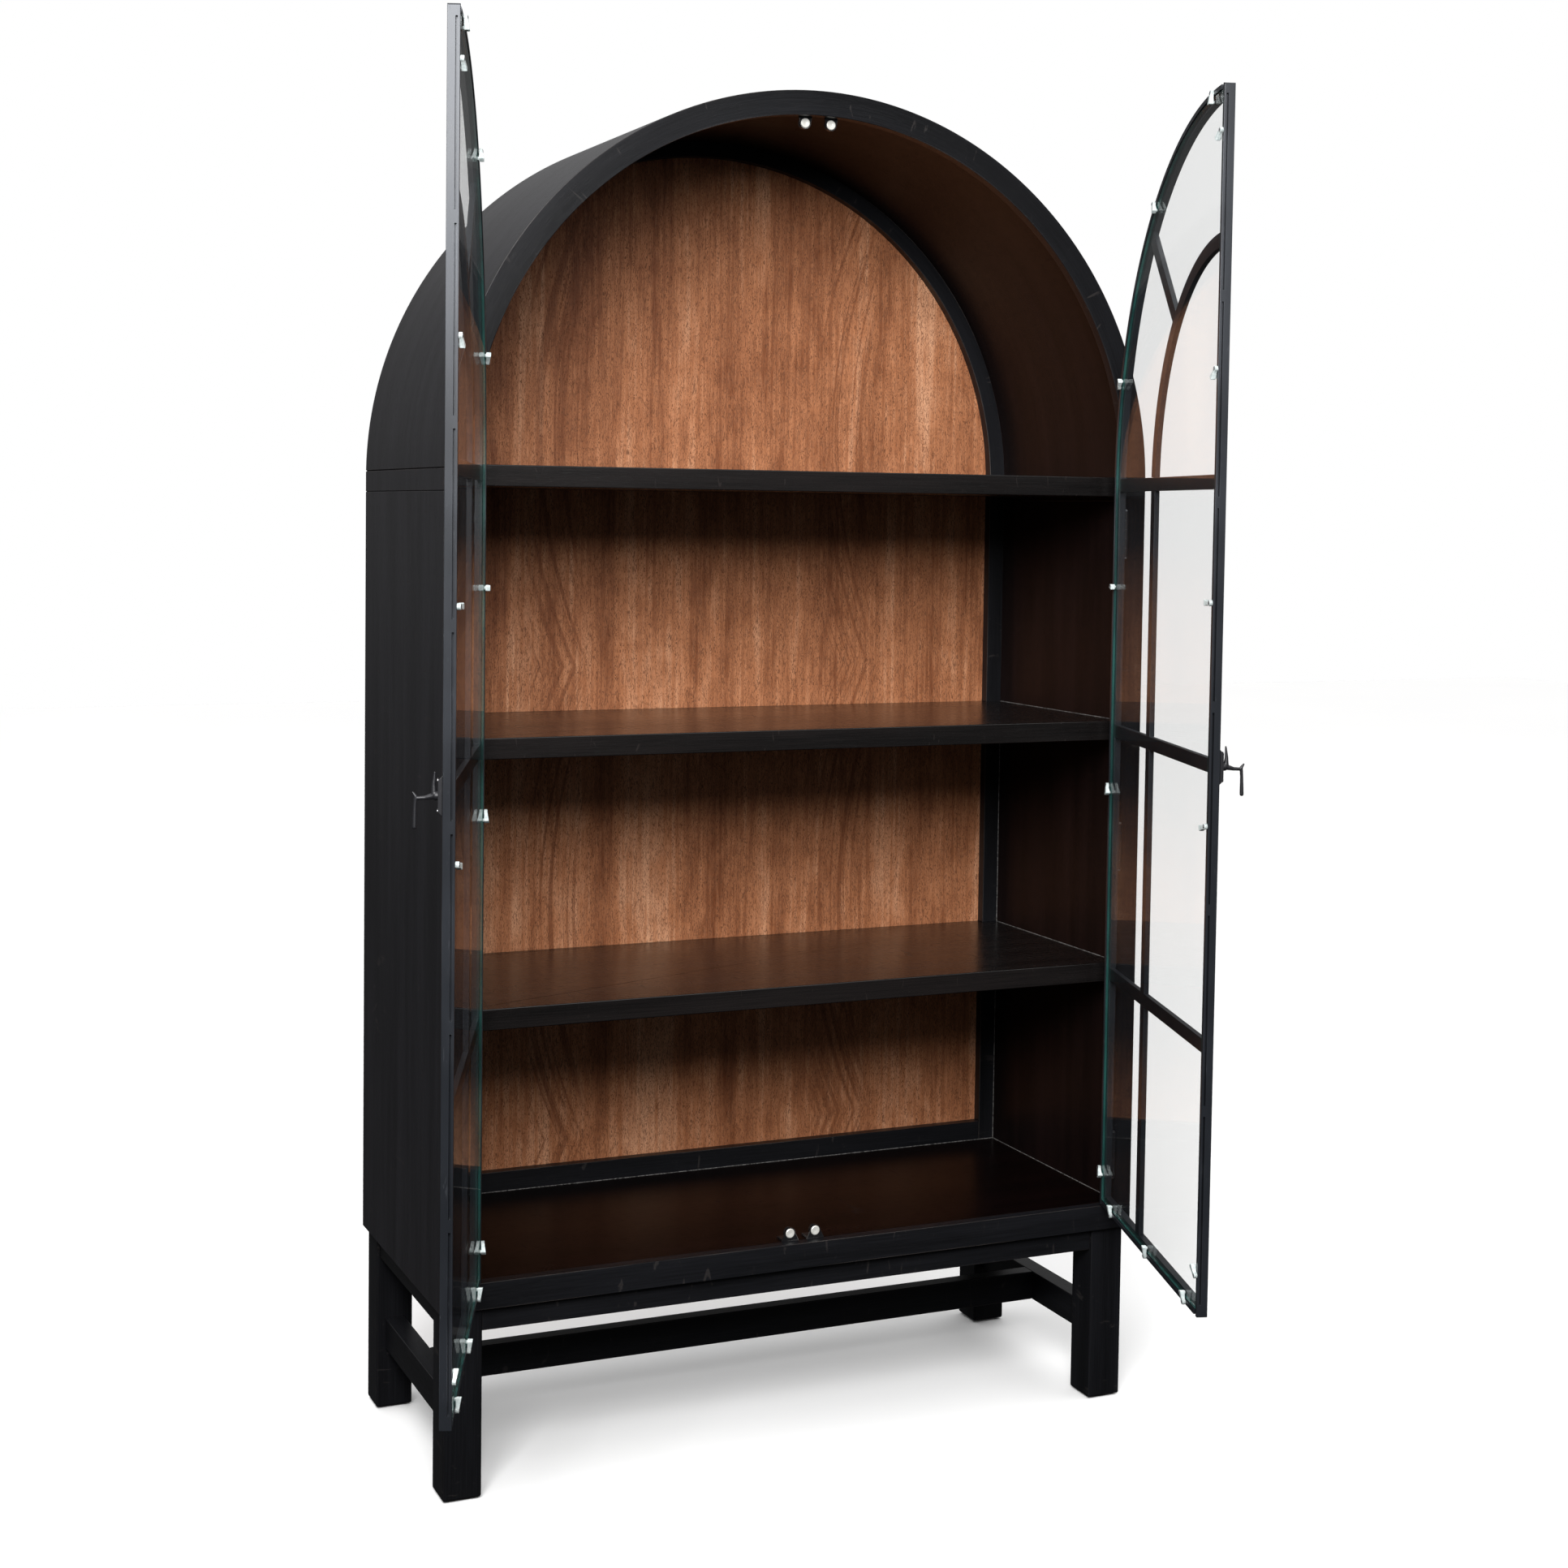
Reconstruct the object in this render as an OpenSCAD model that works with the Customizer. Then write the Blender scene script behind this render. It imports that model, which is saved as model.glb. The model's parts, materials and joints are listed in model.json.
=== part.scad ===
// Arched display cabinet on a four-legged stand, with two glazed steel doors.
// Frame: X runs to the right, Y to the back, Z up. The origin is on the floor,
// under the middle of the cabinet body. The doors are drawn open, as they rest.

/* [Cabinet body] */
// Width over the side panels
body_w = 1200; // [900:10:1400]
// Depth from the face frame to the back panel
body_d = 470; // [400:5:560]
// Height of the springline, where the arch starts
spring_z = 1540; // [1450:5:1650]
// Height of the underside of the body above the floor
body_bottom_z = 292; // [260:1:320]
// Thickness of the side panels and of the bent arch
wall_t = 18; // [15:1:22]
// Height of the joint between the side panels and the arch
arch_joint_z = 1514; // [1505:1:1520]
// Height of the decorative groove above that joint
arch_groove_z = 1548; // [1544:1:1556]
// Width of that groove
groove_w = 1.6; // [1:0.2:3]

/* [Face frame] */
// Width of the face frame seen from the front
face_w = 38; // [30:1:44]
// Thickness of the front lip of the face frame, which covers the panel edges
face_lip_t = 4.5; // [3:0.5:8]
// Total thickness of the face frame
face_t = 18; // [16:1:20]
// Width of the shadow gap behind the front lip
face_gap = 0.8; // [0.4:0.1:1.5]

/* [Shelves] */
// Thickness of a shelf
shelf_t = 32; // [25:1:36]
// Height of the top of the lower shelf
lower_shelf_z = 739; // [700:1:780]
// Height of the top of the middle shelf
middle_shelf_z = 1147; // [1100:1:1190]
// Height of the top of the shelf at the springline
spring_shelf_z = 1554; // [1550:1:1560]
// Height of the top of the bottom board
floor_board_z = 333; // [325:1:345]
// Distance from the face of the cabinet to the front edge of a shelf
shelf_setback = 28; // [27:1:40]

/* [Back] */
// Thickness of the back panel
back_t = 12; // [6:1:15]
// Thickness of the frame in front of the back panel
back_frame_t = 18; // [12:1:22]
// Width of the upright members of the back frame
back_frame_w = 30; // [24:1:40]
// How far the centre of the back frame's inner arch is above the springline
back_arch_rise = 5; // [0:1:8]
// Height of the bottom rail of the back frame
back_rail_h = 34; // [24:1:44]

/* [Stand] */
// Side of a square leg
leg_w = 60; // [50:1:70]
// Distance of the legs in from the sides of the body
leg_inset_x = 9; // [4:1:14]
// Distance of the front legs behind the face of the body
leg_inset_front = 9; // [4:1:14]
// Distance of the back legs in front of the back of the body
leg_inset_back = 3; // [1:1:10]
// Height of the aprons under the body
apron_h = 36; // [28:1:50]
// Thickness of the aprons
apron_t = 22; // [18:1:28]
// Distance of an apron's face behind the legs' face
apron_setback = 4; // [2:1:12]
// Height of the underside of the stretchers
stretcher_z = 102; // [90:1:130]
// Height of a stretcher
stretcher_h = 50; // [40:1:60]
// Thickness of the side stretchers
side_stretcher_t = 32; // [26:1:40]
// Thickness of the long stretcher
long_stretcher_t = 26; // [20:1:36]
// Size of the chamfer round the bottom of a leg
leg_chamfer = 3; // [1:0.5:6]
// Thickness of the plastic foot glides
glide_t = 3; // [2:0.5:5]

/* [Doors] */
// Thickness of a door frame
door_t = 16; // [14:1:16]
// Width of the members of a door frame
door_frame_w = 16; // [14:1:22]
// Gap between a door and the face frame round it
door_gap = 3; // [2.5:0.5:4]
// Half of the gap between the two doors
meeting_gap = 1.5; // [1:0.5:2.5]
// Distance of the doors' front face behind the face of the cabinet
door_setback = 1; // [0.5:0.5:1]
// Width of the glazing bars
bar_w = 21; // [16:1:26]
// Thickness of the glazing bars
bar_t = 8; // [6:1:9]
// Radius of the middle of the inner arched bar, and place of the upright bar
bar_r = 343; // [320:1:380]
// Angle of the spoke between the two arches
spoke_angle = 45.5; // [40:0.5:50]
// Thickness of the glass
glass_t = 4; // [3:0.5:4]
// Angle at which the right door stands open
right_open = 72.5; // [0:0.5:120]
// Angle at which the left door stands open
left_open = 110.5; // [0:0.5:120]

/* [Hinges] */
// Height of one hinge
hinge_h = 76; // [60:2:100]
// Outer radius of a hinge knuckle
knuckle_r = 4; // [3.5:0.1:4.2]
// Radius of a hinge pin
pin_r = 1.75; // [1.5:0.05:2]
// Radial clearance of the pin in the knuckles
pin_clearance = 0.05; // [0.02:0.01:0.1]
// Thickness of a hinge leaf
leaf_t = 1.2; // [0.8:0.1:1.2]

/* [Handles and catches] */
// Height of the middle of the handles
handle_z = 1134; // [1100:1:1180]
// Height of a handle's back plate
handle_plate_h = 51; // [44:1:60]
// How far a handle stands out from the door
handle_reach = 38; // [30:1:45]
// Radius of a catch magnet
magnet_r = 7.5; // [6:0.5:9]
// Distance of the catches from the middle of the cabinet
catch_x = 22; // [20:1:28]

/* [Hidden] */
$fn = 96;
eps = 0.01;
LEFT = -1;
RIGHT = 1;

// Planes of the body
half_w = body_w / 2;
front_y = -body_d / 2;
back_y = body_d / 2;
inner_half_w = half_w - wall_t;
opening_r = half_w - face_w;
panel_front_y = back_y - back_t;
back_frame_y = panel_front_y - back_frame_t;
shelf_y = front_y + shelf_setback;
lip_end_y = front_y + face_lip_t;
face_end_y = front_y + face_t;
shelf_clear = 0.5;
groove_depth = 2;

// Legs and stretchers
leg_x = half_w - leg_inset_x - leg_w;
leg_front_y = front_y + leg_inset_front;
leg_back_y = back_y - leg_inset_back - leg_w;
leg_mid = leg_w / 2;
apron_z = body_bottom_z - apron_h;
glide_r = 13;
glide_pin_r = 3;
glide_pin_h = 18;

// Doors, drawn closed on the right-hand side
door_r = opening_r - door_gap;
door_y = front_y + door_setback;
door_back_y = door_y + door_t;
door_bottom_z = floor_board_z + 5;
rail_top_z = door_bottom_z + door_frame_w;
inner_door_r = door_r - door_frame_w;
stile_end_x = meeting_gap + door_frame_w;
lip_w = 7;
rebate_d = 5;
rebate_y = door_back_y - rebate_d;
glass_gap = 2;
glass_r = door_r - lip_w - glass_gap;
glass_y = rebate_y + 0.2;
bar_y = rebate_y - bar_t;
bar_in_r = bar_r - bar_w / 2;
bar_out_r = bar_r + bar_w / 2;
cross_z = [729, 1135, spring_z];
corner_r = 3;
slot_h = 3;
slot_break = 16;
slot_z0 = door_bottom_z + 18;
slot_z1 = spring_z + door_r - 15;
left_slots = 7;
right_slots = 6;

// Hinges
hinge_x = opening_r - door_gap / 2;
hinge_y = front_y - knuckle_r - 0.5;
hinge_z = [420, 940, 1460];
knuckle_gap = 0.3;
knuckles = 5;
knuckle_h = hinge_h / knuckles;
leaf_end_y = door_back_y - 0.5;
hinge_screw_z = [-28, 0, 28];
hinge_screw_y = front_y + 10;
hinge_screw_r = 1.5;

// Glass clips: place of the screw, and the turn of the clip
clip_in = 4;
edge_x = door_r - clip_in;
clip_stile_x = meeting_gap + clip_in;
clip_rail_z = door_bottom_z + clip_in;
arch_clips = [[84.3, 264], [51.3, 231], [16.8, 140]];
side_clips = [[1373, 180], [1043, 238], [399, 225]];
stile_clips = [[2033, -45], [1699, -55], [1368, 0], [1049, -15], [399, 55]];
rail_clips = [[478, 80], [270, 100], [60, 75]];
clips = concat(
    [for (c = arch_clips) [edge_x * cos(c[0]), spring_z + edge_x * sin(c[0]), c[1]]],
    [for (c = side_clips) [edge_x, c[0], c[1]]],
    [for (c = stile_clips) [clip_stile_x, c[0], c[1]]],
    [for (c = rail_clips) [c[0], clip_rail_z, c[1]]]
);
clip_h = 8;
clip_low_h = 5;
clip_head_r = 4.5;
clip_len = 13;
clip_tip_r = 3.2;
clip_foot_r = 2.8;
clip_waist = 3.1;
clip_end_w = 4.3;
clip_foot_y = glass_y + glass_t + 0.05 - door_back_y;
clip_screw_r = 1.3;
clip_screw_h = 12;

// Handle
plate_w = 13;
plate_t = 6;
plate_x = meeting_gap + door_frame_w / 2;
plate_y = door_y - plate_t;
plate_screw_z = [-19, 19];
plate_screw_r = 1.5;
spindle_r = 2.5;

// Catches
catch_y = face_end_y;
catch_plate_t = 2;
magnet_t = 5;
magnet_y = door_back_y + 0.3;
top_magnet_z = spring_z + opening_r - 10;
bottom_magnet_z = floor_board_z + 12;
cup_r = magnet_r + 1.5;
cup_t = 7;

// ---- Helpers ----

// A box from corner to corner
module block(from, to) {
    translate(from) cube(to - from);
}

// A disc of radius r about the middle of the arch, from y0 to y1
module arch_disc(r, y0, y1, z = spring_z) {
    translate([0, y1, z]) rotate([90, 0, 0]) cylinder(r = r, h = y1 - y0, $fn = 180);
}

// The right-hand quarter of an arched ring
module quarter_ring(r_out, r_in, y0, y1, x0) {
    intersection() {
        difference() {
            arch_disc(r_out, y0, y1);
            arch_disc(r_in, y0 - 1, y1 + 1);
        }
        block([x0, y0 - 1, spring_z], [r_out + 1, y1 + 1, spring_z + r_out + 1]);
    }
}

// A half ring above height z
module half_ring(r_out, r_in, y0, y1, z) {
    difference() {
        arch_disc(r_out, y0, y1);
        arch_disc(r_in, y0 - 1, y1 + 1);
        block([-r_out - 1, y0 - 1, spring_z - r_out - 1], [r_out + 1, y1 + 1, z]);
    }
}

// A cylinder that runs towards +Y from a point
module y_rod(at, r, h, fn = 32) {
    translate(at) rotate([-90, 0, 0]) cylinder(r = r, h = h, $fn = fn);
}

// Puts a piece drawn on the right-hand side on the given side
module on_side(side) {
    if (side == RIGHT) children();
    else mirror([1, 0, 0]) children();
}

// Puts a piece of a closed right-hand door on the open door of the given side
module on_door(side) {
    turn = (side == RIGHT) ? right_open : -left_open;
    translate([side * hinge_x, hinge_y, 0]) rotate([0, 0, turn])
        translate([-side * hinge_x, -hinge_y, 0]) on_side(side) children();
}

// ---- Body ----

module side_panel(side) {
    y0 = lip_end_y + face_gap;
    color("#3a383c") on_side(side) difference() {
        block([inner_half_w, y0, body_bottom_z], [half_w, back_y, arch_joint_z]);
        block([half_w - groove_depth, y0 - 1, arch_joint_z - 1],
              [half_w + 1, back_y + 1, arch_joint_z + 1]);
    }
}

module arch_shell() {
    y0 = lip_end_y + face_gap;
    color("#4b484f") difference() {
        union() {
            half_ring(half_w, inner_half_w, y0, back_y, spring_z);
            for (side = [LEFT, RIGHT]) on_side(side)
                block([inner_half_w, y0, arch_joint_z], [half_w, back_y, spring_z]);
        }
        for (side = [LEFT, RIGHT]) on_side(side)
            block([half_w - groove_depth, y0 - 1, arch_groove_z - groove_w / 2],
                  [half_w + 1, back_y + 1, arch_groove_z + groove_w / 2]);
    }
}

module face_arch() {
    color("#2c2c30") union() {
        half_ring(half_w, opening_r, front_y, lip_end_y, spring_z);
        half_ring(inner_half_w, opening_r, lip_end_y, face_end_y, spring_z);
    }
}

module face_stile(side) {
    color("#2c2c30") on_side(side) difference() {
        union() {
            block([opening_r, front_y, floor_board_z], [half_w, lip_end_y, spring_z]);
            block([opening_r, lip_end_y, floor_board_z], [inner_half_w, face_end_y, spring_z]);
        }
        for (z = hinge_z) for (dz = hinge_screw_z)
            translate([opening_r - 1, hinge_screw_y, z + dz]) rotate([0, 90, 0])
                cylinder(r = hinge_screw_r, h = 16, $fn = 24);
    }
}

module face_bottom_rail() {
    color("#2c2c30") union() {
        block([-half_w, front_y, body_bottom_z], [half_w, lip_end_y, floor_board_z]);
        block([-inner_half_w, lip_end_y, body_bottom_z], [inner_half_w, face_end_y, floor_board_z]);
    }
}

// A shelf with its front edges eased, and a tongue that runs between the back stiles
module shelf(top_z, half) {
    ease = 1.5;
    tongue = inner_half_w - back_frame_w - shelf_clear;
    color("#232226") union() {
        translate([-half, 0, 0]) rotate([90, 0, 90]) linear_extrude(2 * half) polygon([
            [shelf_y, top_z - shelf_t + ease], [shelf_y + ease, top_z - shelf_t],
            [back_frame_y, top_z - shelf_t], [back_frame_y, top_z],
            [shelf_y + ease, top_z], [shelf_y, top_z - ease]]);
        block([-tongue, back_frame_y, top_z - shelf_t], [tongue, panel_front_y, top_z]);
    }
}

module spring_shelf() { shelf(spring_shelf_z, inner_half_w - shelf_clear); }
module middle_shelf() { shelf(middle_shelf_z, inner_half_w); }
module lower_shelf() { shelf(lower_shelf_z, inner_half_w); }

module bottom_board() {
    color("#232226")
        block([-inner_half_w, face_end_y, body_bottom_z],
              [inner_half_w, panel_front_y, floor_board_z]);
}

module back_panel() {
    color("#8a5a3c") union() {
        block([-inner_half_w, panel_front_y, body_bottom_z], [inner_half_w, back_y, spring_z]);
        half_ring(inner_half_w, 0, panel_front_y, back_y, spring_z);
    }
}

module back_arch() {
    inner_r = inner_half_w - back_frame_w;
    color("#1f1c1d") difference() {
        arch_disc(inner_half_w, back_frame_y, panel_front_y);
        arch_disc(inner_r, back_frame_y - 1, panel_front_y + 1, spring_z + back_arch_rise);
        block([-body_w, back_frame_y - 1, 0], [body_w, panel_front_y + 1, spring_z]);
    }
}

// The uprights stand beside the tongues of the shelves, in front of the back panel
module back_stiles() {
    color("#1f1c1d") for (side = [LEFT, RIGHT]) on_side(side)
        block([inner_half_w - back_frame_w, back_frame_y, floor_board_z],
              [inner_half_w, panel_front_y, spring_z]);
}

module back_bottom_rail() {
    half = inner_half_w - back_frame_w;
    color("#1f1c1d")
        block([-half, back_frame_y, floor_board_z],
              [half, panel_front_y, floor_board_z + back_rail_h]);
}

// ---- Stand ----

// A square leg with a chamfer round its foot and a socket for its glide
module leg(x, y) {
    c = leg_chamfer;
    color("#3a383c") difference() {
        union() {
            block([x, y, glide_t + c], [x + leg_w, y + leg_w, body_bottom_z]);
            intersection() {
                translate([x, y, 0]) rotate([90, 0, 90]) linear_extrude(leg_w) leg_foot();
                translate([x, y + leg_w, 0]) rotate([90, 0, 0]) linear_extrude(leg_w) leg_foot();
            }
        }
        translate([x + leg_mid, y + leg_mid, glide_t - 1])
            cylinder(r = glide_pin_r + 0.1, h = glide_pin_h + 2);
    }
}

// Outline of the chamfered foot of a leg
module leg_foot() {
    c = leg_chamfer;
    polygon([[c, glide_t], [leg_w - c, glide_t], [leg_w, glide_t + c], [0, glide_t + c]]);
}

module front_apron() {
    y = leg_front_y + apron_setback;
    color("#3a383c") block([-leg_x, y, apron_z], [leg_x, y + apron_t, body_bottom_z]);
}

module back_apron() {
    y = leg_back_y + leg_w - apron_setback;
    color("#3a383c") block([-leg_x, y - apron_t, apron_z], [leg_x, y, body_bottom_z]);
}

module side_aprons() {
    x = leg_x + leg_w - apron_setback;
    color("#3a383c") for (side = [LEFT, RIGHT]) on_side(side)
        block([x - apron_t, leg_front_y + leg_w, apron_z], [x, leg_back_y, body_bottom_z]);
}

module side_stretcher(side) {
    x = leg_x + leg_mid - side_stretcher_t / 2;
    color("#48454c") on_side(side)
        block([x, leg_front_y + leg_w, stretcher_z],
              [x + side_stretcher_t, leg_back_y, stretcher_z + stretcher_h]);
}

module long_stretcher() {
    x = leg_x + leg_mid - side_stretcher_t / 2;
    y = (leg_front_y + leg_back_y + leg_w - long_stretcher_t) / 2;
    color("#48454c")
        block([-x, y, stretcher_z], [x, y + long_stretcher_t, stretcher_z + stretcher_h]);
}

// Triangular glue blocks behind the legs, under the bottom board
module corner_blocks() {
    size = 46;
    x = leg_x + leg_w - apron_setback - apron_t;
    fronts = leg_front_y + leg_w;
    backs = leg_back_y;
    color("#6b4a33") for (side = [LEFT, RIGHT]) on_side(side) {
        translate([0, 0, apron_z + 4]) linear_extrude(apron_h - 4)
            polygon([[x, fronts], [x, fronts + size], [x - size, fronts]]);
        translate([0, 0, apron_z + 4]) linear_extrude(apron_h - 4)
            polygon([[x, backs], [x, backs - size], [x - size, backs]]);
    }
}

module foot_glides() {
    color("#16161a") for (side = [LEFT, RIGHT]) on_side(side)
        for (y = [leg_front_y, leg_back_y]) translate([leg_x + leg_mid, y + leg_mid, 0]) {
            cylinder(r = glide_r, h = glide_t);
            translate([0, 0, glide_t - eps]) cylinder(r = glide_pin_r, h = glide_pin_h);
        }
}

// ---- Catches ----

// A plate that narrows towards the magnet, with a cup behind the magnet
module catch_bracket(root_z, magnet_z) {
    wide = 15;
    narrow = 9;
    difference() {
        union() {
            translate([0, catch_y + catch_plate_t, 0]) rotate([90, 0, 0])
                linear_extrude(catch_plate_t) polygon([
                    [-wide, root_z], [wide, root_z], [narrow, magnet_z], [-narrow, magnet_z]]);
            y_rod([0, catch_y, magnet_z], cup_r, cup_t);
        }
        y_rod([0, magnet_y - 1, magnet_z], magnet_r + 0.1, magnet_t + 1);
    }
}

module catch_brackets() {
    foot_t = 2;
    foot_d = 24;
    top_z = top_magnet_z + 26;
    color("#2a2b30") for (side = [LEFT, RIGHT]) translate([side * catch_x, 0, 0]) {
        catch_bracket(top_z, top_magnet_z);
        catch_bracket(floor_board_z, bottom_magnet_z);
        block([-13, catch_y, floor_board_z], [13, catch_y + foot_d, floor_board_z + foot_t]);
    }
}

module catch_magnets() {
    color("#c9c9c4") for (side = [LEFT, RIGHT]) for (z = [top_magnet_z, bottom_magnet_z])
        y_rod([side * catch_x, magnet_y, z], magnet_r, magnet_t);
}

// ---- Hinges ----

// Knuckles number first, first + 2 and so on of one hinge, with their tabs
module knuckle_set(first, tab_x0, tab_x1) {
    for (i = [first : 2 : knuckles - 1]) {
        z = -hinge_h / 2 + i * knuckle_h + knuckle_gap / 2;
        h = knuckle_h - knuckle_gap;
        translate([hinge_x, hinge_y, z]) cylinder(r = knuckle_r, h = h, $fn = 40);
        block([tab_x0, hinge_y, z], [tab_x1, front_y + 1, z + h]);
    }
}

// One leaf of all three hinges, with screw holes
module hinge_leaves(first, x0, x1, leaf_y) {
    for (z = hinge_z) translate([0, 0, z]) difference() {
        union() {
            knuckle_set(first, x0, x1);
            block([x0, leaf_y, -hinge_h / 2], [x1, leaf_end_y, hinge_h / 2]);
        }
        translate([hinge_x, hinge_y, -hinge_h])
            cylinder(r = pin_r + pin_clearance, h = 2 * hinge_h, $fn = 40);
        for (dz = hinge_screw_z) translate([x0 - 1, hinge_screw_y, dz]) rotate([0, 90, 0])
            cylinder(r = hinge_screw_r, h = leaf_t + 2, $fn = 24);
    }
}

module frame_hinge_leaves() {
    color("#202024") for (side = [LEFT, RIGHT]) on_side(side)
        hinge_leaves(0, opening_r - leaf_t, opening_r, front_y);
}

module door_hinge_leaves(side) {
    color("#202024") on_door(side)
        hinge_leaves(1, door_r, door_r + leaf_t, door_y);
}

module hinge_pins() {
    tip_r = 3;
    tip_h = 2.5;
    color("#8d8f94") for (side = [LEFT, RIGHT]) on_side(side)
        for (z = hinge_z) translate([hinge_x, hinge_y, z]) {
            translate([0, 0, -hinge_h / 2]) cylinder(r = pin_r, h = hinge_h, $fn = 40);
            translate([0, 0, hinge_h / 2]) cylinder(r = tip_r, h = tip_h, $fn = 32);
            translate([0, 0, -hinge_h / 2 - tip_h]) cylinder(r = tip_r, h = tip_h, $fn = 32);
        }
}

module frame_hinge_screws() {
    color("#8d8f94") for (side = [LEFT, RIGHT]) on_side(side)
        for (z = hinge_z) for (dz = hinge_screw_z)
            translate([opening_r - leaf_t, hinge_screw_y, z + dz]) rotate([0, 90, 0])
                cylinder(r = hinge_screw_r, h = 15, $fn = 24);
}

// ---- Doors ----

// Cuts the glass rebate out of a member of the door frame
module glass_rebate() {
    block([meeting_gap + lip_w, rebate_y, door_bottom_z + lip_w],
          [door_r - lip_w, door_back_y + 1, spring_z]);
    intersection() {
        arch_disc(door_r - lip_w, rebate_y, door_back_y + 1);
        block([meeting_gap + lip_w, rebate_y, spring_z - 1], [door_r, door_back_y + 1, 3 * spring_z]);
    }
}

// The opening inside the door frame
module door_opening(y0, y1) {
    block([stile_end_x, y0, rail_top_z], [inner_door_r, y1, spring_z]);
    intersection() {
        arch_disc(inner_door_r, y0, y1);
        block([stile_end_x, y0, spring_z - 1], [door_r, y1, 3 * spring_z]);
    }
}

// Holes for the clip screws in the door frame
module clip_holes() {
    for (c = clips)
        y_rod([c[0], door_back_y - clip_screw_h + clip_h / 2, c[1]], clip_screw_r, clip_screw_h, 16);
}

// Rounds the top corner of a meeting stile
module top_corner() {
    top = spring_z + door_r;
    difference() {
        block([0, door_y - 1, top - corner_r], [meeting_gap + corner_r, door_back_y + 1, top + 1]);
        y_rod([meeting_gap + corner_r, door_y - 2, top - corner_r], corner_r, door_t + 4);
    }
}

module meeting_stile(side) {
    n = (side == RIGHT) ? right_slots : left_slots;
    pitch = (slot_z1 - slot_z0 + slot_break) / n;
    color("#33363c") on_door(side) difference() {
        intersection() {
            block([meeting_gap, door_y, door_bottom_z],
                  [stile_end_x, door_back_y, spring_z + door_r]);
            union() {
                arch_disc(door_r, door_y - 1, door_back_y + 1);
                block([0, door_y - 1, 0], [door_r, door_back_y + 1, spring_z]);
            }
        }
        glass_rebate();
        clip_holes();
        top_corner();
        for (i = [0 : n - 1])
            block([meeting_gap - 1, rebate_y - 1, slot_z0 + i * pitch],
                  [meeting_gap + lip_w + 1, rebate_y - 1 + slot_h,
                   slot_z0 + (i + 1) * pitch - slot_break]);
        for (dz = plate_screw_z)
            y_rod([plate_x, door_y - 1, handle_z + dz], plate_screw_r, 9, 24);
        y_rod([plate_x, door_y - 1, handle_z], spindle_r + 0.1, 9, 24);
    }
}

module hinge_stile(side) {
    color("#33363c") on_door(side) difference() {
        block([inner_door_r, door_y, door_bottom_z], [door_r, door_back_y, spring_z]);
        glass_rebate();
        clip_holes();
        for (z = hinge_z) for (dz = hinge_screw_z)
            translate([door_r - 6, hinge_screw_y, z + dz]) rotate([0, 90, 0])
                cylinder(r = hinge_screw_r, h = 8, $fn = 24);
    }
}

module arch_rail(side) {
    color("#33363c") on_door(side) difference() {
        quarter_ring(door_r, inner_door_r, door_y, door_back_y, stile_end_x);
        glass_rebate();
        clip_holes();
    }
}

module bottom_rail(side) {
    color("#33363c") on_door(side) difference() {
        block([stile_end_x, door_y, door_bottom_z], [inner_door_r, door_back_y, rail_top_z]);
        glass_rebate();
        clip_holes();
    }
}

module cross_bars(side) {
    color("#2d3036") on_door(side) intersection() {
        door_opening(bar_y - 1, rebate_y + 1);
        for (z = cross_z)
            block([0, bar_y, z - bar_w / 2], [door_r, rebate_y, z + bar_w / 2]);
    }
}

module upright_bars(side) {
    lows = [rail_top_z, cross_z[0] + bar_w / 2, cross_z[1] + bar_w / 2];
    highs = [cross_z[0] - bar_w / 2, cross_z[1] - bar_w / 2, cross_z[2] - bar_w / 2];
    color("#2d3036") on_door(side) for (i = [0 : len(lows) - 1])
        block([bar_in_r, bar_y, lows[i]], [bar_out_r, rebate_y, highs[i]]);
}

module arch_bar(side) {
    color("#2d3036") on_door(side) difference() {
        quarter_ring(bar_out_r, bar_in_r, bar_y, rebate_y, stile_end_x);
        block([0, bar_y - 1, 0], [door_r, rebate_y + 1, spring_z + bar_w / 2]);
    }
}

module spoke(side) {
    color("#2d3036") on_door(side) difference() {
        intersection() {
            arch_disc(inner_door_r, bar_y - 1, rebate_y + 1);
            translate([0, 0, spring_z]) rotate([0, -spoke_angle, 0])
                block([bar_in_r, bar_y, -bar_w / 2], [door_r, rebate_y, bar_w / 2]);
        }
        arch_disc(bar_out_r, bar_y - 1, rebate_y + 1);
    }
}

module glass(side) {
    x0 = meeting_gap + lip_w + glass_gap;
    z0 = door_bottom_z + lip_w + glass_gap;
    color("#b9d3cc", 0.35) on_door(side) union() {
        block([x0, glass_y, z0], [glass_r, glass_y + glass_t, spring_z]);
        intersection() {
            arch_disc(glass_r, glass_y, glass_y + glass_t);
            block([x0, glass_y - 1, spring_z], [door_r, door_back_y, 2 * spring_z]);
        }
    }
}

// A turn clip: a round head on the lip of the frame, and a tongue that
// grows wider and thicker towards its foot on the glass
module clip_body(turn) {
    end_x = clip_len + clip_tip_r;
    rotate([0, -turn, 0]) difference() {
        union() {
            y_rod([0, 0, 0], clip_head_r, clip_low_h);
            intersection() {
                translate([0, 0, -6]) linear_extrude(12)
                    polygon([[0.7, 0.5], [end_x, 0.5], [end_x, clip_h], [0.7, 4.6]]);
                translate([0, 10, 0]) rotate([90, 0, 0]) linear_extrude(11)
                    polygon([[-1, -clip_waist], [end_x + 1, -clip_end_w],
                             [end_x + 1, clip_end_w], [-1, clip_waist]]);
            }
            y_rod([clip_len, clip_foot_y, 0], clip_foot_r, 2 - clip_foot_y);
        }
        y_rod([0, -1, 0], clip_screw_r + 0.05, clip_h + 2, 16);
    }
}

module glass_clips(side) {
    color("#dfe6e4") on_door(side) for (c = clips)
        translate([c[0], door_back_y, c[1]]) clip_body(c[2]);
}

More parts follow.
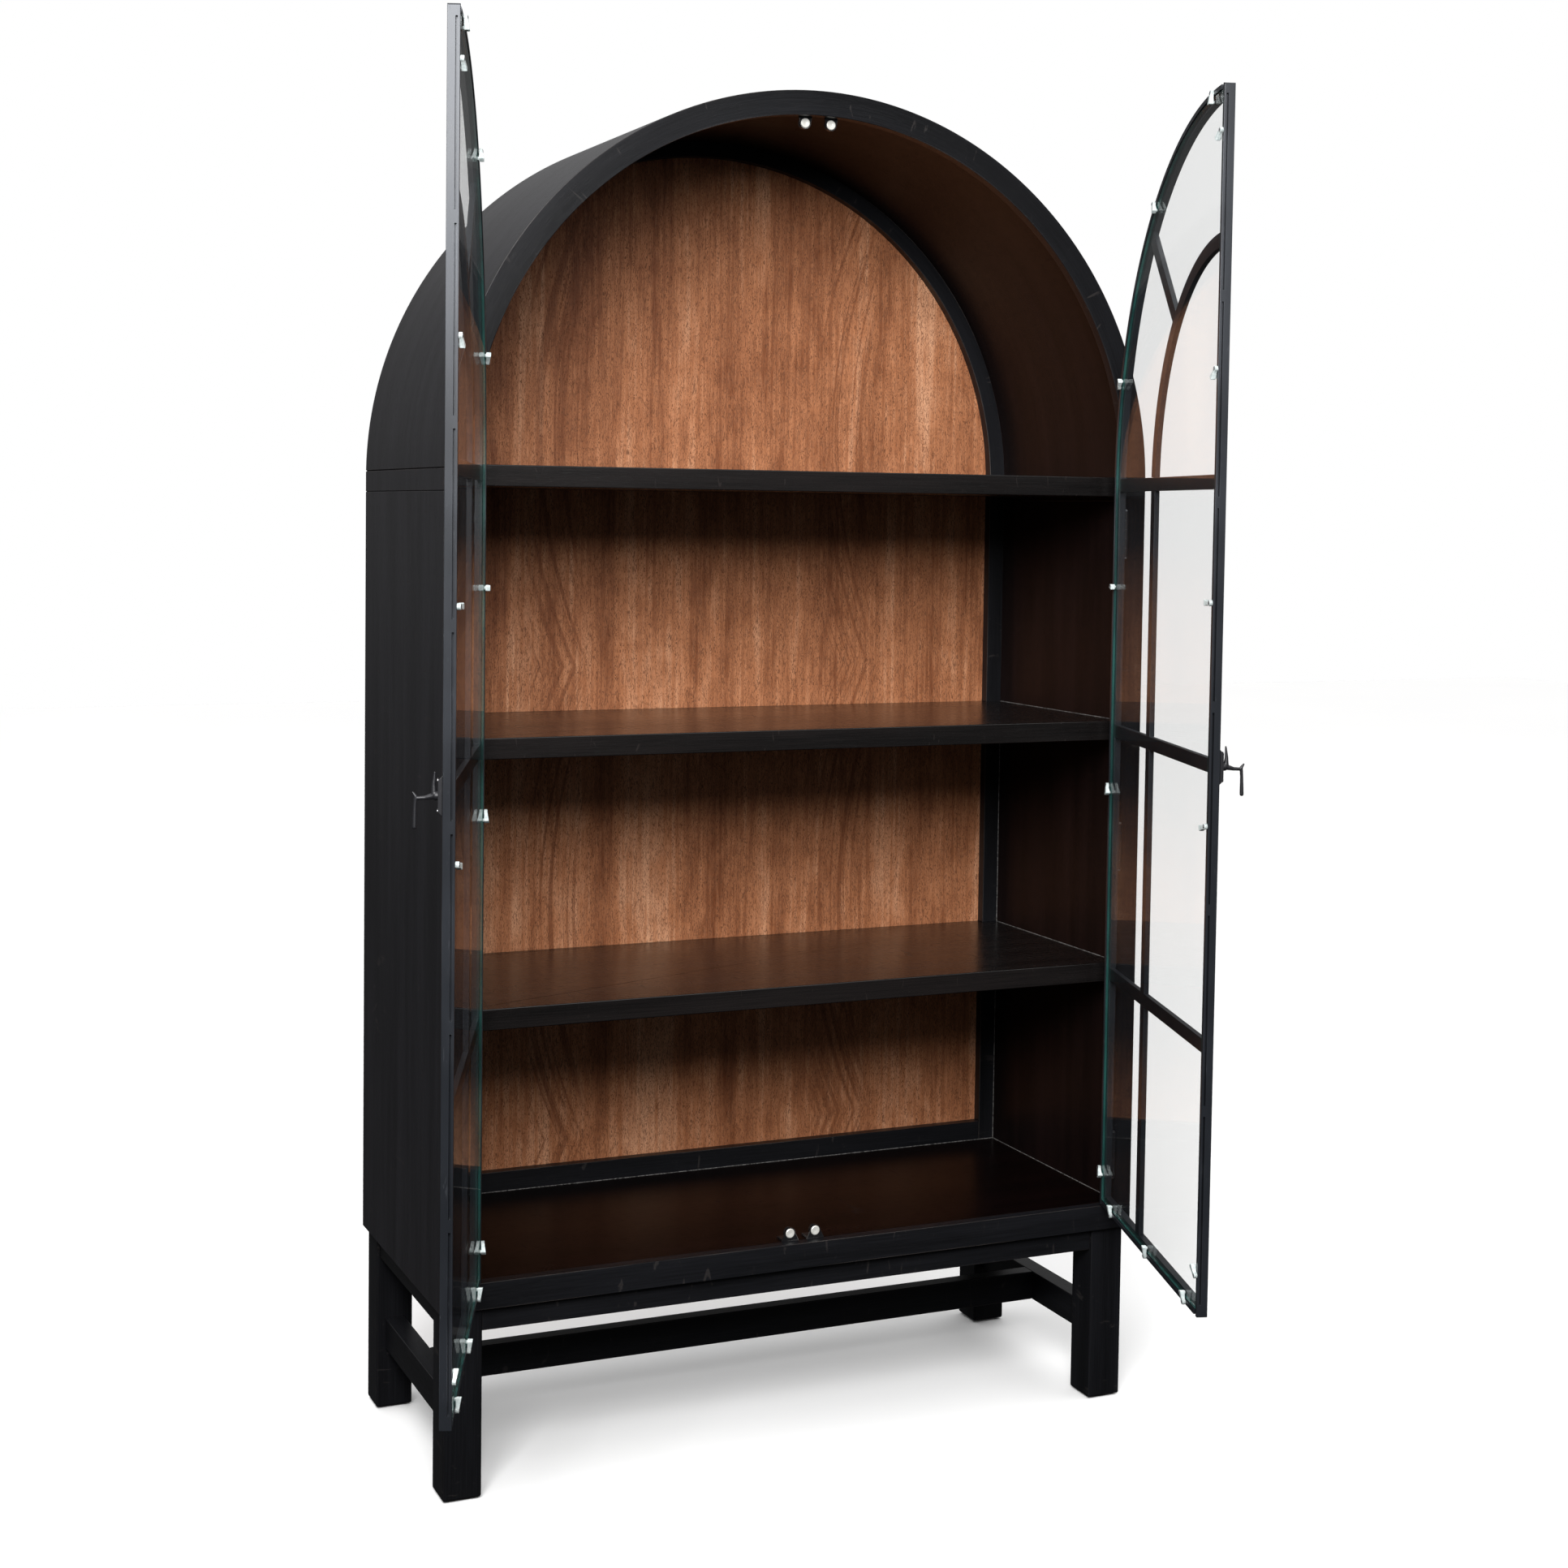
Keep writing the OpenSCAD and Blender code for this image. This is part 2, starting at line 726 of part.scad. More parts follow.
// Clip screws, handle screws and hinge screws of one door
module door_screws(side) {
    color("#a9abb0") on_door(side) {
        for (c = clips)
            y_rod([c[0], door_back_y - clip_screw_h + clip_low_h - 1, c[1]],
                  clip_screw_r, clip_screw_h, 16);
        for (dz = plate_screw_z) {
            y_rod([plate_x, plate_y, handle_z + dz], plate_screw_r, plate_t + 8, 24);
            y_rod([plate_x, plate_y - 1.4, handle_z + dz], 3.1, 1.4, 24);
        }
        for (z = hinge_z) for (dz = hinge_screw_z)
            translate([door_r - 6, hinge_screw_y, z + dz]) rotate([0, 90, 0])
                cylinder(r = hinge_screw_r, h = 6 + leaf_t, $fn = 24);
    }
}

// The back plate of a handle, with bevelled ends
module handle_plate(side) {
    bevel = 6;
    top = handle_plate_h / 2;
    color("#1c1d21") on_door(side) difference() {
        translate([plate_x - plate_w / 2, 0, handle_z]) rotate([90, 0, 90])
            linear_extrude(plate_w) polygon([
                [door_y, -top], [plate_y, -top + bevel], [plate_y, top - bevel], [door_y, top]]);
        for (dz = plate_screw_z)
            y_rod([plate_x, plate_y - 1, handle_z + dz], plate_screw_r, plate_t + 2, 24);
        y_rod([plate_x, plate_y - 1, handle_z], spindle_r + 0.1, plate_t + 2, 24);
    }
}

// A tapering round bar between two points
module taper(a, ra, b, rb) {
    hull() {
        translate(a) sphere(r = ra, $fn = 20);
        translate(b) sphere(r = rb, $fn = 20);
    }
}

// The lever: a boss on the plate, a prong up beside it, an arm and a drop grip
module handle_lever(side) {
    tip_y = door_y - handle_reach;
    prong_y = plate_y - 5;
    color("#1c1d21") on_door(side) translate([plate_x, 0, handle_z]) {
        y_rod([0, plate_y - 4, 0], 6, 4);
        y_rod([0, plate_y - 4, 0], spindle_r, plate_t + 11);
        taper([0, plate_y - 6, 0], 4.5, [0, prong_y + 1, 29], 1.3);
        taper([0, plate_y - 6, 0], 4.5, [0, tip_y + 8, -3], 2.2);
        taper([0, tip_y + 8, -3], 2.2, [0, tip_y + 1, 4], 1.5);
        taper([0, tip_y + 8, -3], 2.2, [0, tip_y + 3.5, -12], 2.2);
        taper([0, tip_y + 3.5, -12], 2.2, [0, tip_y + 3, -39], 3);
    }
}

side_panel(LEFT);  // left_side_panel
side_panel(RIGHT);  // right_side_panel
arch_shell();
face_arch();
face_stile(LEFT);  // face_left_stile
face_stile(RIGHT);  // face_right_stile
face_bottom_rail();
spring_shelf();
middle_shelf();
lower_shelf();
bottom_board();
back_panel();
back_arch();
back_stiles();
back_bottom_rail();
leg(-leg_x - leg_w, leg_front_y);  // front_left_leg
leg(leg_x, leg_front_y);  // front_right_leg
leg(-leg_x - leg_w, leg_back_y);  // back_left_leg
leg(leg_x, leg_back_y);  // back_right_leg
front_apron();
back_apron();
side_aprons();
side_stretcher(LEFT);  // left_stretcher
side_stretcher(RIGHT);  // right_stretcher
long_stretcher();
corner_blocks();
foot_glides();
catch_brackets();
catch_magnets();
frame_hinge_leaves();
hinge_pins();
frame_hinge_screws();
meeting_stile(LEFT);  // left_door_meeting_stile
hinge_stile(LEFT);  // left_door_hinge_stile
arch_rail(LEFT);  // left_door_arch_rail
bottom_rail(LEFT);  // left_door_bottom_rail
cross_bars(LEFT);  // left_door_cross_bars
upright_bars(LEFT);  // left_door_upright_bars
arch_bar(LEFT);  // left_door_arch_bar
spoke(LEFT);  // left_door_spoke
glass(LEFT);  // left_door_glass
glass_clips(LEFT);  // left_door_glass_clips
door_screws(LEFT);  // left_door_screws
door_hinge_leaves(LEFT);  // left_door_hinge_leaves
handle_plate(LEFT);  // left_door_handle_plate
handle_lever(LEFT);  // left_door_handle_lever
meeting_stile(RIGHT);  // right_door_meeting_stile
hinge_stile(RIGHT);  // right_door_hinge_stile
arch_rail(RIGHT);  // right_door_arch_rail
bottom_rail(RIGHT);  // right_door_bottom_rail
cross_bars(RIGHT);  // right_door_cross_bars
upright_bars(RIGHT);  // right_door_upright_bars
arch_bar(RIGHT);  // right_door_arch_bar
spoke(RIGHT);  // right_door_spoke
glass(RIGHT);  // right_door_glass
glass_clips(RIGHT);  // right_door_glass_clips
door_screws(RIGHT);  // right_door_screws
door_hinge_leaves(RIGHT);  // right_door_hinge_leaves
handle_plate(RIGHT);  // right_door_handle_plate
handle_lever(RIGHT);  // right_door_handle_lever
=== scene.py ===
"""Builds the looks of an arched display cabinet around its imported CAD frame.

Every length is in metres. X runs to the right, Y to the back and Z up, as in the frame.
"""

import json
import logging
import math
from dataclasses import dataclass
from enum import Enum
from typing import Callable, Sequence

import bmesh
import bpy
from mathutils import Matrix, Vector


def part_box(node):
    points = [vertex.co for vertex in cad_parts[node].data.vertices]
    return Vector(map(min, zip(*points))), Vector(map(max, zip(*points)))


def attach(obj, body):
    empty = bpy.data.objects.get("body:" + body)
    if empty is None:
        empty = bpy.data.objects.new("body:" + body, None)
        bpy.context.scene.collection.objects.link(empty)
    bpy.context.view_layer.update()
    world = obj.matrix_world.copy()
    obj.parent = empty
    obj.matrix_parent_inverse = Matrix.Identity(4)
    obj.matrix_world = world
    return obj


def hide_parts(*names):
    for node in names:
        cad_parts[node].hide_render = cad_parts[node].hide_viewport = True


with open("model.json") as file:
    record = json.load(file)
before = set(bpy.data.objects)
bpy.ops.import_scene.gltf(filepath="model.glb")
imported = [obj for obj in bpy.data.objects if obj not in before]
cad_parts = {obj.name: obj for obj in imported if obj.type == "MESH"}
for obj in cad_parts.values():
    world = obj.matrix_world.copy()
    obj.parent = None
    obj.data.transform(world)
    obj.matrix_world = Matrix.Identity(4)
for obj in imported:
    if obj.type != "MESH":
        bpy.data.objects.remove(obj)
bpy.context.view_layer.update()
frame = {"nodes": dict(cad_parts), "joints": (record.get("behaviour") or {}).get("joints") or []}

log = logging.getLogger("cabinet")

Point = tuple[float, float]
Colour = tuple[float, float, float]
Place = Callable[[Point], Vector]

MM = 0.001
GRAIN = "grain"
CABINET = "cabinet"
# How far the grain's pattern is squeezed on a board's ends
END_GRAIN = 0.2
# The widest turn between two faces that are shaded as one
SMOOTH_TURN = math.radians(35)
# Vertices closer than this are one
WELD = 1e-6


class Axis(Enum):
    """A direction of the frame."""

    X = 0
    Y = 1
    Z = 2


class Side(Enum):
    """A side of the cabinet, as the sign of its X."""

    LEFT = -1
    RIGHT = 1


class Coords(Enum):
    """What a finish's pattern is laid on."""

    GRAIN = "the piece's own map, which follows its length"
    OBJECT = "the object's own coordinates, along Z"


# ---------------------------------------------------------------------------
# Shader work
# ---------------------------------------------------------------------------


class Signal:
    """A number socket on which shader maths is written as plain expressions."""

    def __init__(self, work: "MaterialWork", socket: bpy.types.NodeSocket) -> None:
        """Wraps a socket.

        Args:
            work: The material that the socket is in.
            socket: An output socket that carries a number.
        """
        self.work = work
        self.socket = socket

    def _math(self, operation: str, first: object, second: object) -> "Signal":
        """Adds one Math node.

        Args:
            operation: The node's operation.
            first: The first value, a number or a signal.
            second: The second value, a number or a signal.

        Returns:
            The result as a signal.
        """
        node = self.work.node("ShaderNodeMath", {"operation": operation}, {0: first, 1: second})
        return Signal(self.work, node.outputs[0])

    def __add__(self, other: object) -> "Signal":
        """Sum."""
        return self._math("ADD", self, other)

    __radd__ = __add__

    def __sub__(self, other: object) -> "Signal":
        """Difference."""
        return self._math("SUBTRACT", self, other)

    def __rsub__(self, other: object) -> "Signal":
        """Difference from a number."""
        return self._math("SUBTRACT", other, self)

    def __mul__(self, other: object) -> "Signal":
        """Product."""
        return self._math("MULTIPLY", self, other)

    __rmul__ = __mul__

    def __pow__(self, other: object) -> "Signal":
        """Power."""
        return self._math("POWER", self, other)

    def magnitude(self) -> "Signal":
        """Size without the sign."""
        return self._math("ABSOLUTE", self, 0.0)

    def folded(self, length: float) -> "Signal":
        """Runs from 0 to the length and back, over and over."""
        return self._math("PINGPONG", self, length)

    def between(self, low: float, high: float) -> "Signal":
        """Ramps the signal smoothly from 0 at low to 1 at high."""
        node = self.work.node(
            "ShaderNodeMapRange",
            {"interpolation_type": "SMOOTHSTEP"},
            {"Value": self, "From Min": low, "From Max": high},
        )
        return Signal(self.work, node.outputs["Result"])


class MaterialWork:
    """One material's node tree while it is being built."""

    def __init__(self, name: str, owner: bpy.types.ID | None = None) -> None:
        """Empties a material's or a world's node tree.

        Args:
            name: The material's name.
            owner: What has the tree, or nothing for a new material.
        """
        self.material = owner or bpy.data.materials.new(name)
        self.material.use_nodes = True
        self.tree = self.material.node_tree
        self.tree.nodes.clear()

    def node(
        self, kind: str, settings: dict | None = None, inputs: dict | None = None
    ) -> bpy.types.Node:
        """Adds any node.

        Args:
            kind: The node's type.
            settings: Its settings, set first; "stops" holds a ramp's (place, colour) pairs.
            inputs: Its sockets, by name or number, as values, sockets or signals.

        Returns:
            The node.
        """
        made = self.tree.nodes.new(kind)
        for key, value in (settings or {}).items():
            if key == "stops":
                self._set_stops(made.color_ramp, value)
            else:
                setattr(made, key, value)
        for key, value in (inputs or {}).items():
            source = value.socket if isinstance(value, Signal) else value
            if isinstance(source, bpy.types.NodeSocket):
                self.tree.links.new(source, made.inputs[key])
            else:
                made.inputs[key].default_value = source
        return made

    @staticmethod
    def _set_stops(ramp: bpy.types.ColorRamp, stops: Sequence) -> None:
        """Sets a colour ramp's stops from (place, colour) pairs."""
        while len(ramp.elements) < len(stops):
            ramp.elements.new(1.0)
        for element, (place, colour) in zip(ramp.elements, stops):
            element.position = place
            element.color = (*colour, 1.0)

    def signal(
        self, kind: str, output: str, settings: dict | None, inputs: dict | None
    ) -> Signal:
        """Adds a node and gives one of its outputs as a signal."""
        return Signal(self, self.node(kind, settings, inputs).outputs[output])

    def coordinates(self, coords: Coords) -> bpy.types.NodeSocket:
        """The pattern's coordinates: first along the grain, then across it.

        Args:
            coords: What the pattern is laid on.

        Returns:
            A vector socket.
        """
        if coords is Coords.GRAIN:
            return self.node("ShaderNodeUVMap", {"uv_map": GRAIN}).outputs["UV"]
        local = self.node("ShaderNodeTexCoord").outputs["Object"]
        parts = self.node("ShaderNodeSeparateXYZ", None, {0: local}).outputs
        turned = {0: parts["Z"], 1: parts["X"], 2: parts["Y"]}
        return self.node("ShaderNodeCombineXYZ", None, turned).outputs[0]

    def stretched(
        self, vector: bpy.types.NodeSocket, scale: Sequence[float]
    ) -> bpy.types.NodeSocket:
        """The vector with each part multiplied by its own scale."""
        node = self.node(
            "ShaderNodeVectorMath", {"operation": "MULTIPLY"}, {0: vector, 1: tuple(scale)}
        )
        return node.outputs[0]

    def noise(
        self,
        vector: bpy.types.NodeSocket,
        scale: Sequence[float],
        detail: float = 2.0,
        distortion: float = 0.0,
    ) -> Signal:
        """Noise on stretched coordinates, from 0 to 1.

        Args:
            vector: The coordinates, in metres.
            scale: Spots per metre in each direction.
            detail: The number of finer layers.
            distortion: How much the noise is warped.

        Returns:
            The noise.
        """
        return self.signal(
            "ShaderNodeTexNoise",
            "Fac",
            None,
            {
                "Vector": self.stretched(vector, scale),
                "Scale": 1.0,
                "Detail": detail,
                "Distortion": distortion,
            },
        )

    def mix(
        self, amount: object, first: object, second: object, blend: str = "MIX"
    ) -> bpy.types.NodeSocket:
        """Mixes two colours.

        Args:
            amount: The share of the second colour.
            first: The first colour.
            second: The second colour.
            blend: How they are blended.

        Returns:
            The colour socket.
        """
        ready = {
            key: (*value, 1.0) if isinstance(value, tuple) else value
            for key, value in {6: first, 7: second}.items()
        }
        node = self.node(
            "ShaderNodeMix", {"data_type": "RGBA", "blend_type": blend}, {0: amount, **ready}
        )
        return node.outputs[2]

    def edges(self, radius: float) -> Signal:
        """A mask of the piece's edges, where handling wears them, and where the catch brackets
        get a painted highlight.
        """
        eased = self.node("ShaderNodeBevel", {"samples": 4}, {"Radius": radius})
        plain = self.node("ShaderNodeNewGeometry").outputs["Normal"]
        dot = self.signal(
            "ShaderNodeVectorMath",
            "Value",
            {"operation": "DOT_PRODUCT"},
            {0: eased.outputs[0], 1: plain},
        )
        return (1.0 - dot).between(0.01, 0.16)

    def bump(self, height: Signal, depth: float) -> bpy.types.NodeSocket:
        """A normal from a height, where the height's 1 is depth metres."""
        node = self.node(
            "ShaderNodeBump", None, {"Strength": 1.0, "Distance": depth, "Height": height}
        )
        return node.outputs[0]

    def surface(self, inputs: dict, constants: dict | None = None) -> bpy.types.Material:
        """Ends the material in one Principled shader.

        Args:
            inputs: What varies over the surface.
            constants: What is the same all over it.

        Returns:
            The material.
        """
        shader = self.node("ShaderNodeBsdfPrincipled", None, {**(constants or {}), **inputs})
        self.node("ShaderNodeOutputMaterial", None, {"Surface": shader.outputs[0]})
        return self.material


# ---------------------------------------------------------------------------
# Finishes
# ---------------------------------------------------------------------------


@dataclass(frozen=True)
class StainedWood:
    """Stained and lacquered open-pored wood, nearly black."""

    name: str
    dark: Colour
    light: Colour
    rub: Colour
    roughness: float = 0.4
    coat: float = 0.1
    wear: float = 0.35
    specular: float = 0.35
    relief: float = 0.06 * MM

    def material(self, coords: Coords = Coords.GRAIN) -> bpy.types.Material:
        """Builds the material.

        Args:
            coords: What its grain is laid on.

        Returns:
            The material.
        """
        work = MaterialWork(self.name)
        place = work.coordinates(coords)
        broad = work.noise(place, (1.3, 22.0, 22.0), 3.0, 0.4)
        fibres = work.noise(place, (9.0, 480.0, 480.0), 2.0)
        pores = work.noise(place, (42.0, 1150.0, 1150.0), 1.0).between(0.56, 0.72)
        smears = work.noise(place, (2.5, 7.0, 7.0), 3.0)
        tone = (broad * 0.65 + fibres * 0.5).between(0.36, 0.8)
        stained = work.mix(tone, self.dark, self.light)
        porous = work.mix(pores * 0.7, stained, self.dark)
        rubbed = work.edges(2.2 * MM) * smears.between(0.42, 0.62) * self.wear
        scuffs = work.noise(place, (60.0, 14.0, 14.0), 4.0, 1.5).between(0.66, 0.72)
        coloured = work.mix(rubbed + scuffs * 0.10, porous, self.rub)
        gloss = self.roughness + (smears - 0.5) * 0.16 + pores * 0.12 + scuffs * 0.08
        height = fibres * 0.25 - pores
        return work.surface(
            {
                "Base Color": coloured,
                "Roughness": gloss,
                "Normal": work.bump(height, self.relief),
            },
            {
                "Coat Weight": self.coat,
                "Coat Roughness": 0.22,
                "Specular IOR Level": self.specular,
            },
        )


@dataclass(frozen=True)
class RibbonVeneer:
    """Brown oiled veneer with upright ribbons, flames and short dark pores."""

    name: str
    deep: Colour
    middle: Colour
    bright: Colour
    pore: Colour
    roughness: float = 0.5
    plume_x: float = 0.27
    plume_rise: float = 0.407
    plume_bend: float = 0.55

    def material(self) -> bpy.types.Material:
        """Builds the material."""
        work = MaterialWork(self.name)
        place = work.coordinates(Coords.GRAIN)
        ribbons = work.noise(place, (0.55, 7.5, 1.0), 3.0, 0.9)
        flames = work.noise(place, (2.4, 26.0, 1.0), 4.0, 1.3)
        streaks = work.noise(place, (3.5, 160.0, 1.0), 3.0, 0.2)
        fibres = work.noise(place, (34.0, 700.0, 1.0), 2.0, 0.3)
        lustre = work.noise(place, (14.0, 30.0, 1.0), 2.0, 0.6)
        plume, near = self.plumes(work, place)
        tone = ribbons * 0.56 + flames * 0.20 + streaks * 0.26 + lustre * 0.16
        ground = work.node(
            "ShaderNodeValToRGB",
            {"stops": [(0.46, self.deep), (0.59, self.middle), (0.73, self.bright)]},
            {"Fac": tone},
        ).outputs[0]
        feathered = work.mix(plume * near * 0.75, ground, self.deep)
        flecks = work.noise(place, (85.0, 400.0, 1.0), 2.0, 2.6)
        dashes = flecks.between(0.52, 0.58) * (0.30 + streaks * 1.1)
        dashed = work.mix(dashes * 0.80, feathered, self.pore)
        coloured = work.mix((fibres - 0.45) * 0.5, dashed, self.bright)
        gloss = self.roughness + (lustre - 0.5) * 0.2 + dashes * 0.2
        return work.surface(
            {
                "Base Color": coloured,
                "Roughness": gloss,
                "Normal": work.bump(fibres * 0.4 - dashes, 0.10 * MM),
            },
            {"Specular IOR Level": 0.25},
        )

    def plumes(self, work: MaterialWork, place: bpy.types.NodeSocket) -> tuple[Signal, Signal]:
        """The feathered figure of the veneer, which bends away as it rises.

        Args:
            work: The material.
            place: The coordinates, along the grain and across it.

        Returns:
            The figure's dark bands, and a mask of where the figure is.
        """
        parts = work.node("ShaderNodeSeparateXYZ", None, {0: place}).outputs
        along, across = Signal(work, parts[0]), Signal(work, parts[1])
        climb = along.folded(self.plume_rise)
        bent = across - climb * climb * self.plume_bend
        turned_place = work.node("ShaderNodeCombineXYZ", None, {0: along, 1: bent}).outputs[0]
        bands = work.noise(turned_place, (0.9, 95.0, 1.0), 2.0, 0.15)
        side = ((across.magnitude() - self.plume_x)).magnitude()
        near = 1.0 - side.between(0.015, 0.085)
        return bands.between(0.48, 0.62), near


@dataclass(frozen=True)
class RawWood:
    """Unfinished softwood of the hidden glue blocks."""

    name: str
    early: Colour
    late: Colour

    def material(self) -> bpy.types.Material:
        """Builds the material."""
        work = MaterialWork(self.name)
        place = work.coordinates(Coords.OBJECT)
        rings = work.noise(place, (4.0, 90.0, 90.0), 2.0, 0.4)
        fuzz = work.noise(place, (60.0, 900.0, 900.0), 2.0)
        coloured = work.mix(rings.between(0.35, 0.65), self.early, self.late)
        return work.surface(
            {
                "Base Color": coloured,
                "Roughness": 0.75 + fuzz * 0.15,
                "Normal": work.bump(fuzz, 0.15 * MM),
            }
        )


@dataclass(frozen=True)
class CoatedSteel:
    """Powder-coated steel with a fine skin and pale edges: rubbed wear, and on the catch
    brackets a painted highlight.
    """

    name: str
    base: Colour
    rub: Colour
    roughness: float = 0.36
    metallic: float = 0.35
    wear: float = 0.5

    def material(self) -> bpy.types.Material:
        """Builds the material."""
        work = MaterialWork(self.name)
        place = work.node("ShaderNodeTexCoord").outputs["Object"]
        skin = work.noise(place, (900.0, 900.0, 900.0), 2.0)
        clouds = work.noise(place, (16.0, 16.0, 7.0), 4.0)
        marks = work.noise(place, (240.0, 240.0, 30.0), 3.0, 1.0).between(0.66, 0.74)
        # Pale edges: rubbed wear on the doors and the handle, a painted highlight on the catch
        # brackets.
        edge_wear_and_highlight = work.edges(1.0 * MM) * clouds.between(0.45, 0.65) * self.wear
        lighter = tuple(min(1.0, 1.35 * part) for part in self.base)
        toned = work.mix(clouds.between(0.3, 0.7), self.base, lighter)
        coloured = work.mix(edge_wear_and_highlight + marks * 0.12, toned, self.rub)
        gloss = self.roughness + (clouds - 0.5) * 0.16 + marks * 0.1
        return work.surface(
            {"Base Color": coloured, "Roughness": gloss, "Normal": work.bump(skin, 0.02 * MM)},
            {"Metallic": self.metallic},
        )


@dataclass(frozen=True)
class PlatedSteel:
    """Bright plated or ground steel, with fine turning marks."""

    name: str
    base: Colour
    tarnish: Colour
    roughness: float = 0.28
    metallic: float = 1.0

    def material(self) -> bpy.types.Material:
        """Builds the material."""
        work = MaterialWork(self.name)
        place = work.node("ShaderNodeTexCoord").outputs["Object"]
        lines = work.noise(place, (500.0, 500.0, 4000.0), 2.0)
        stains = work.noise(place, (180.0, 180.0, 180.0), 3.0).between(0.45, 0.7)
        coloured = work.mix(stains * 0.6, self.base, self.tarnish)
        return work.surface(
            {
                "Base Color": coloured,
                "Roughness": self.roughness + stains * 0.2 + (lines - 0.5) * 0.1,
                "Normal": work.bump(lines, 0.01 * MM),
            },
            {"Metallic": self.metallic},
        )


@dataclass(frozen=True)
class MouldedPlastic:
    """Moulded plastic, clouded and a little translucent or plain."""

    name: str
    base: Colour
    shade: Colour
    roughness: float = 0.35
    passes: float = 0.0

    def material(self) -> bpy.types.Material:
        """Builds the material."""
        work = MaterialWork(self.name)
        place = work.node("ShaderNodeTexCoord").outputs["Object"]
        clouds = work.noise(place, (260.0, 260.0, 260.0), 3.0)
        pits = work.noise(place, (2200.0, 2200.0, 2200.0), 1.0)
        coloured = work.mix(clouds.between(0.35, 0.7), self.base, self.shade)
        return work.surface(
            {
                "Base Color": coloured,
                "Roughness": self.roughness + (clouds - 0.5) * 0.2,
                "Normal": work.bump(pits, 0.01 * MM),
            },
            {
                "Subsurface Weight": self.passes,
                "Subsurface Radius": (0.004, 0.004, 0.004),
                "Subsurface Scale": 1.0,
            },
        )


@dataclass(frozen=True)
class ClearGlass:
    """A pane that mirrors more the flatter it is looked along."""

    name: str
    tint: Colour
    head_on: float = 0.03
    grazing: float = 0.42

    def material(self) -> bpy.types.Material:
        """Builds the material."""
        work = MaterialWork(self.name)
        facing = work.signal("ShaderNodeLayerWeight", "Facing", None, {"Blend": 0.5})
        mirrored = self.head_on + (facing**5.0) * self.grazing
        place = work.node("ShaderNodeTexCoord").outputs["Object"]
        dust = work.noise(place, (9.0, 9.0, 6.0), 4.0, 0.8).between(0.5, 0.85)
        clear = work.node("ShaderNodeBsdfTransparent", None, {"Color": (*self.tint, 1.0)})
        mirror = work.node(
            "ShaderNodeBsdfPrincipled",
            None,
            {
                "Base Color": (0.95, 0.97, 0.97, 1.0),
                "Metallic": 1.0,
                "Roughness": 0.02 + dust * 0.03,
            },
        )
        pane = work.node(
            "ShaderNodeMixShader",
            None,
            {0: mirrored, 1: clear.outputs[0], 2: mirror.outputs[0]},
        )
        work.node("ShaderNodeOutputMaterial", None, {"Surface": pane.outputs[0]})
        return work.material


@dataclass(frozen=True)
class GlassEdge:
    """The ground edge of a pane, which shows the glass's own green."""

    name: str
    base: Colour
    deep: Colour

    def material(self) -> bpy.types.Material:
        """Builds the material."""
        work = MaterialWork(self.name)
        place = work.node("ShaderNodeTexCoord").outputs["Object"]
        bands = work.noise(place, (40.0, 40.0, 9.0), 3.0)
        grind = work.noise(place, (1500.0, 1500.0, 1500.0), 1.0)
        coloured = work.mix(bands.between(0.3, 0.7), self.base, self.deep)
        return work.surface(
            {
                "Base Color": coloured,
                "Roughness": 0.18 + grind * 0.2,
                "Normal": work.bump(grind, 0.02 * MM),
            },
            {"Coat Weight": 0.5, "Coat Roughness": 0.1},
        )


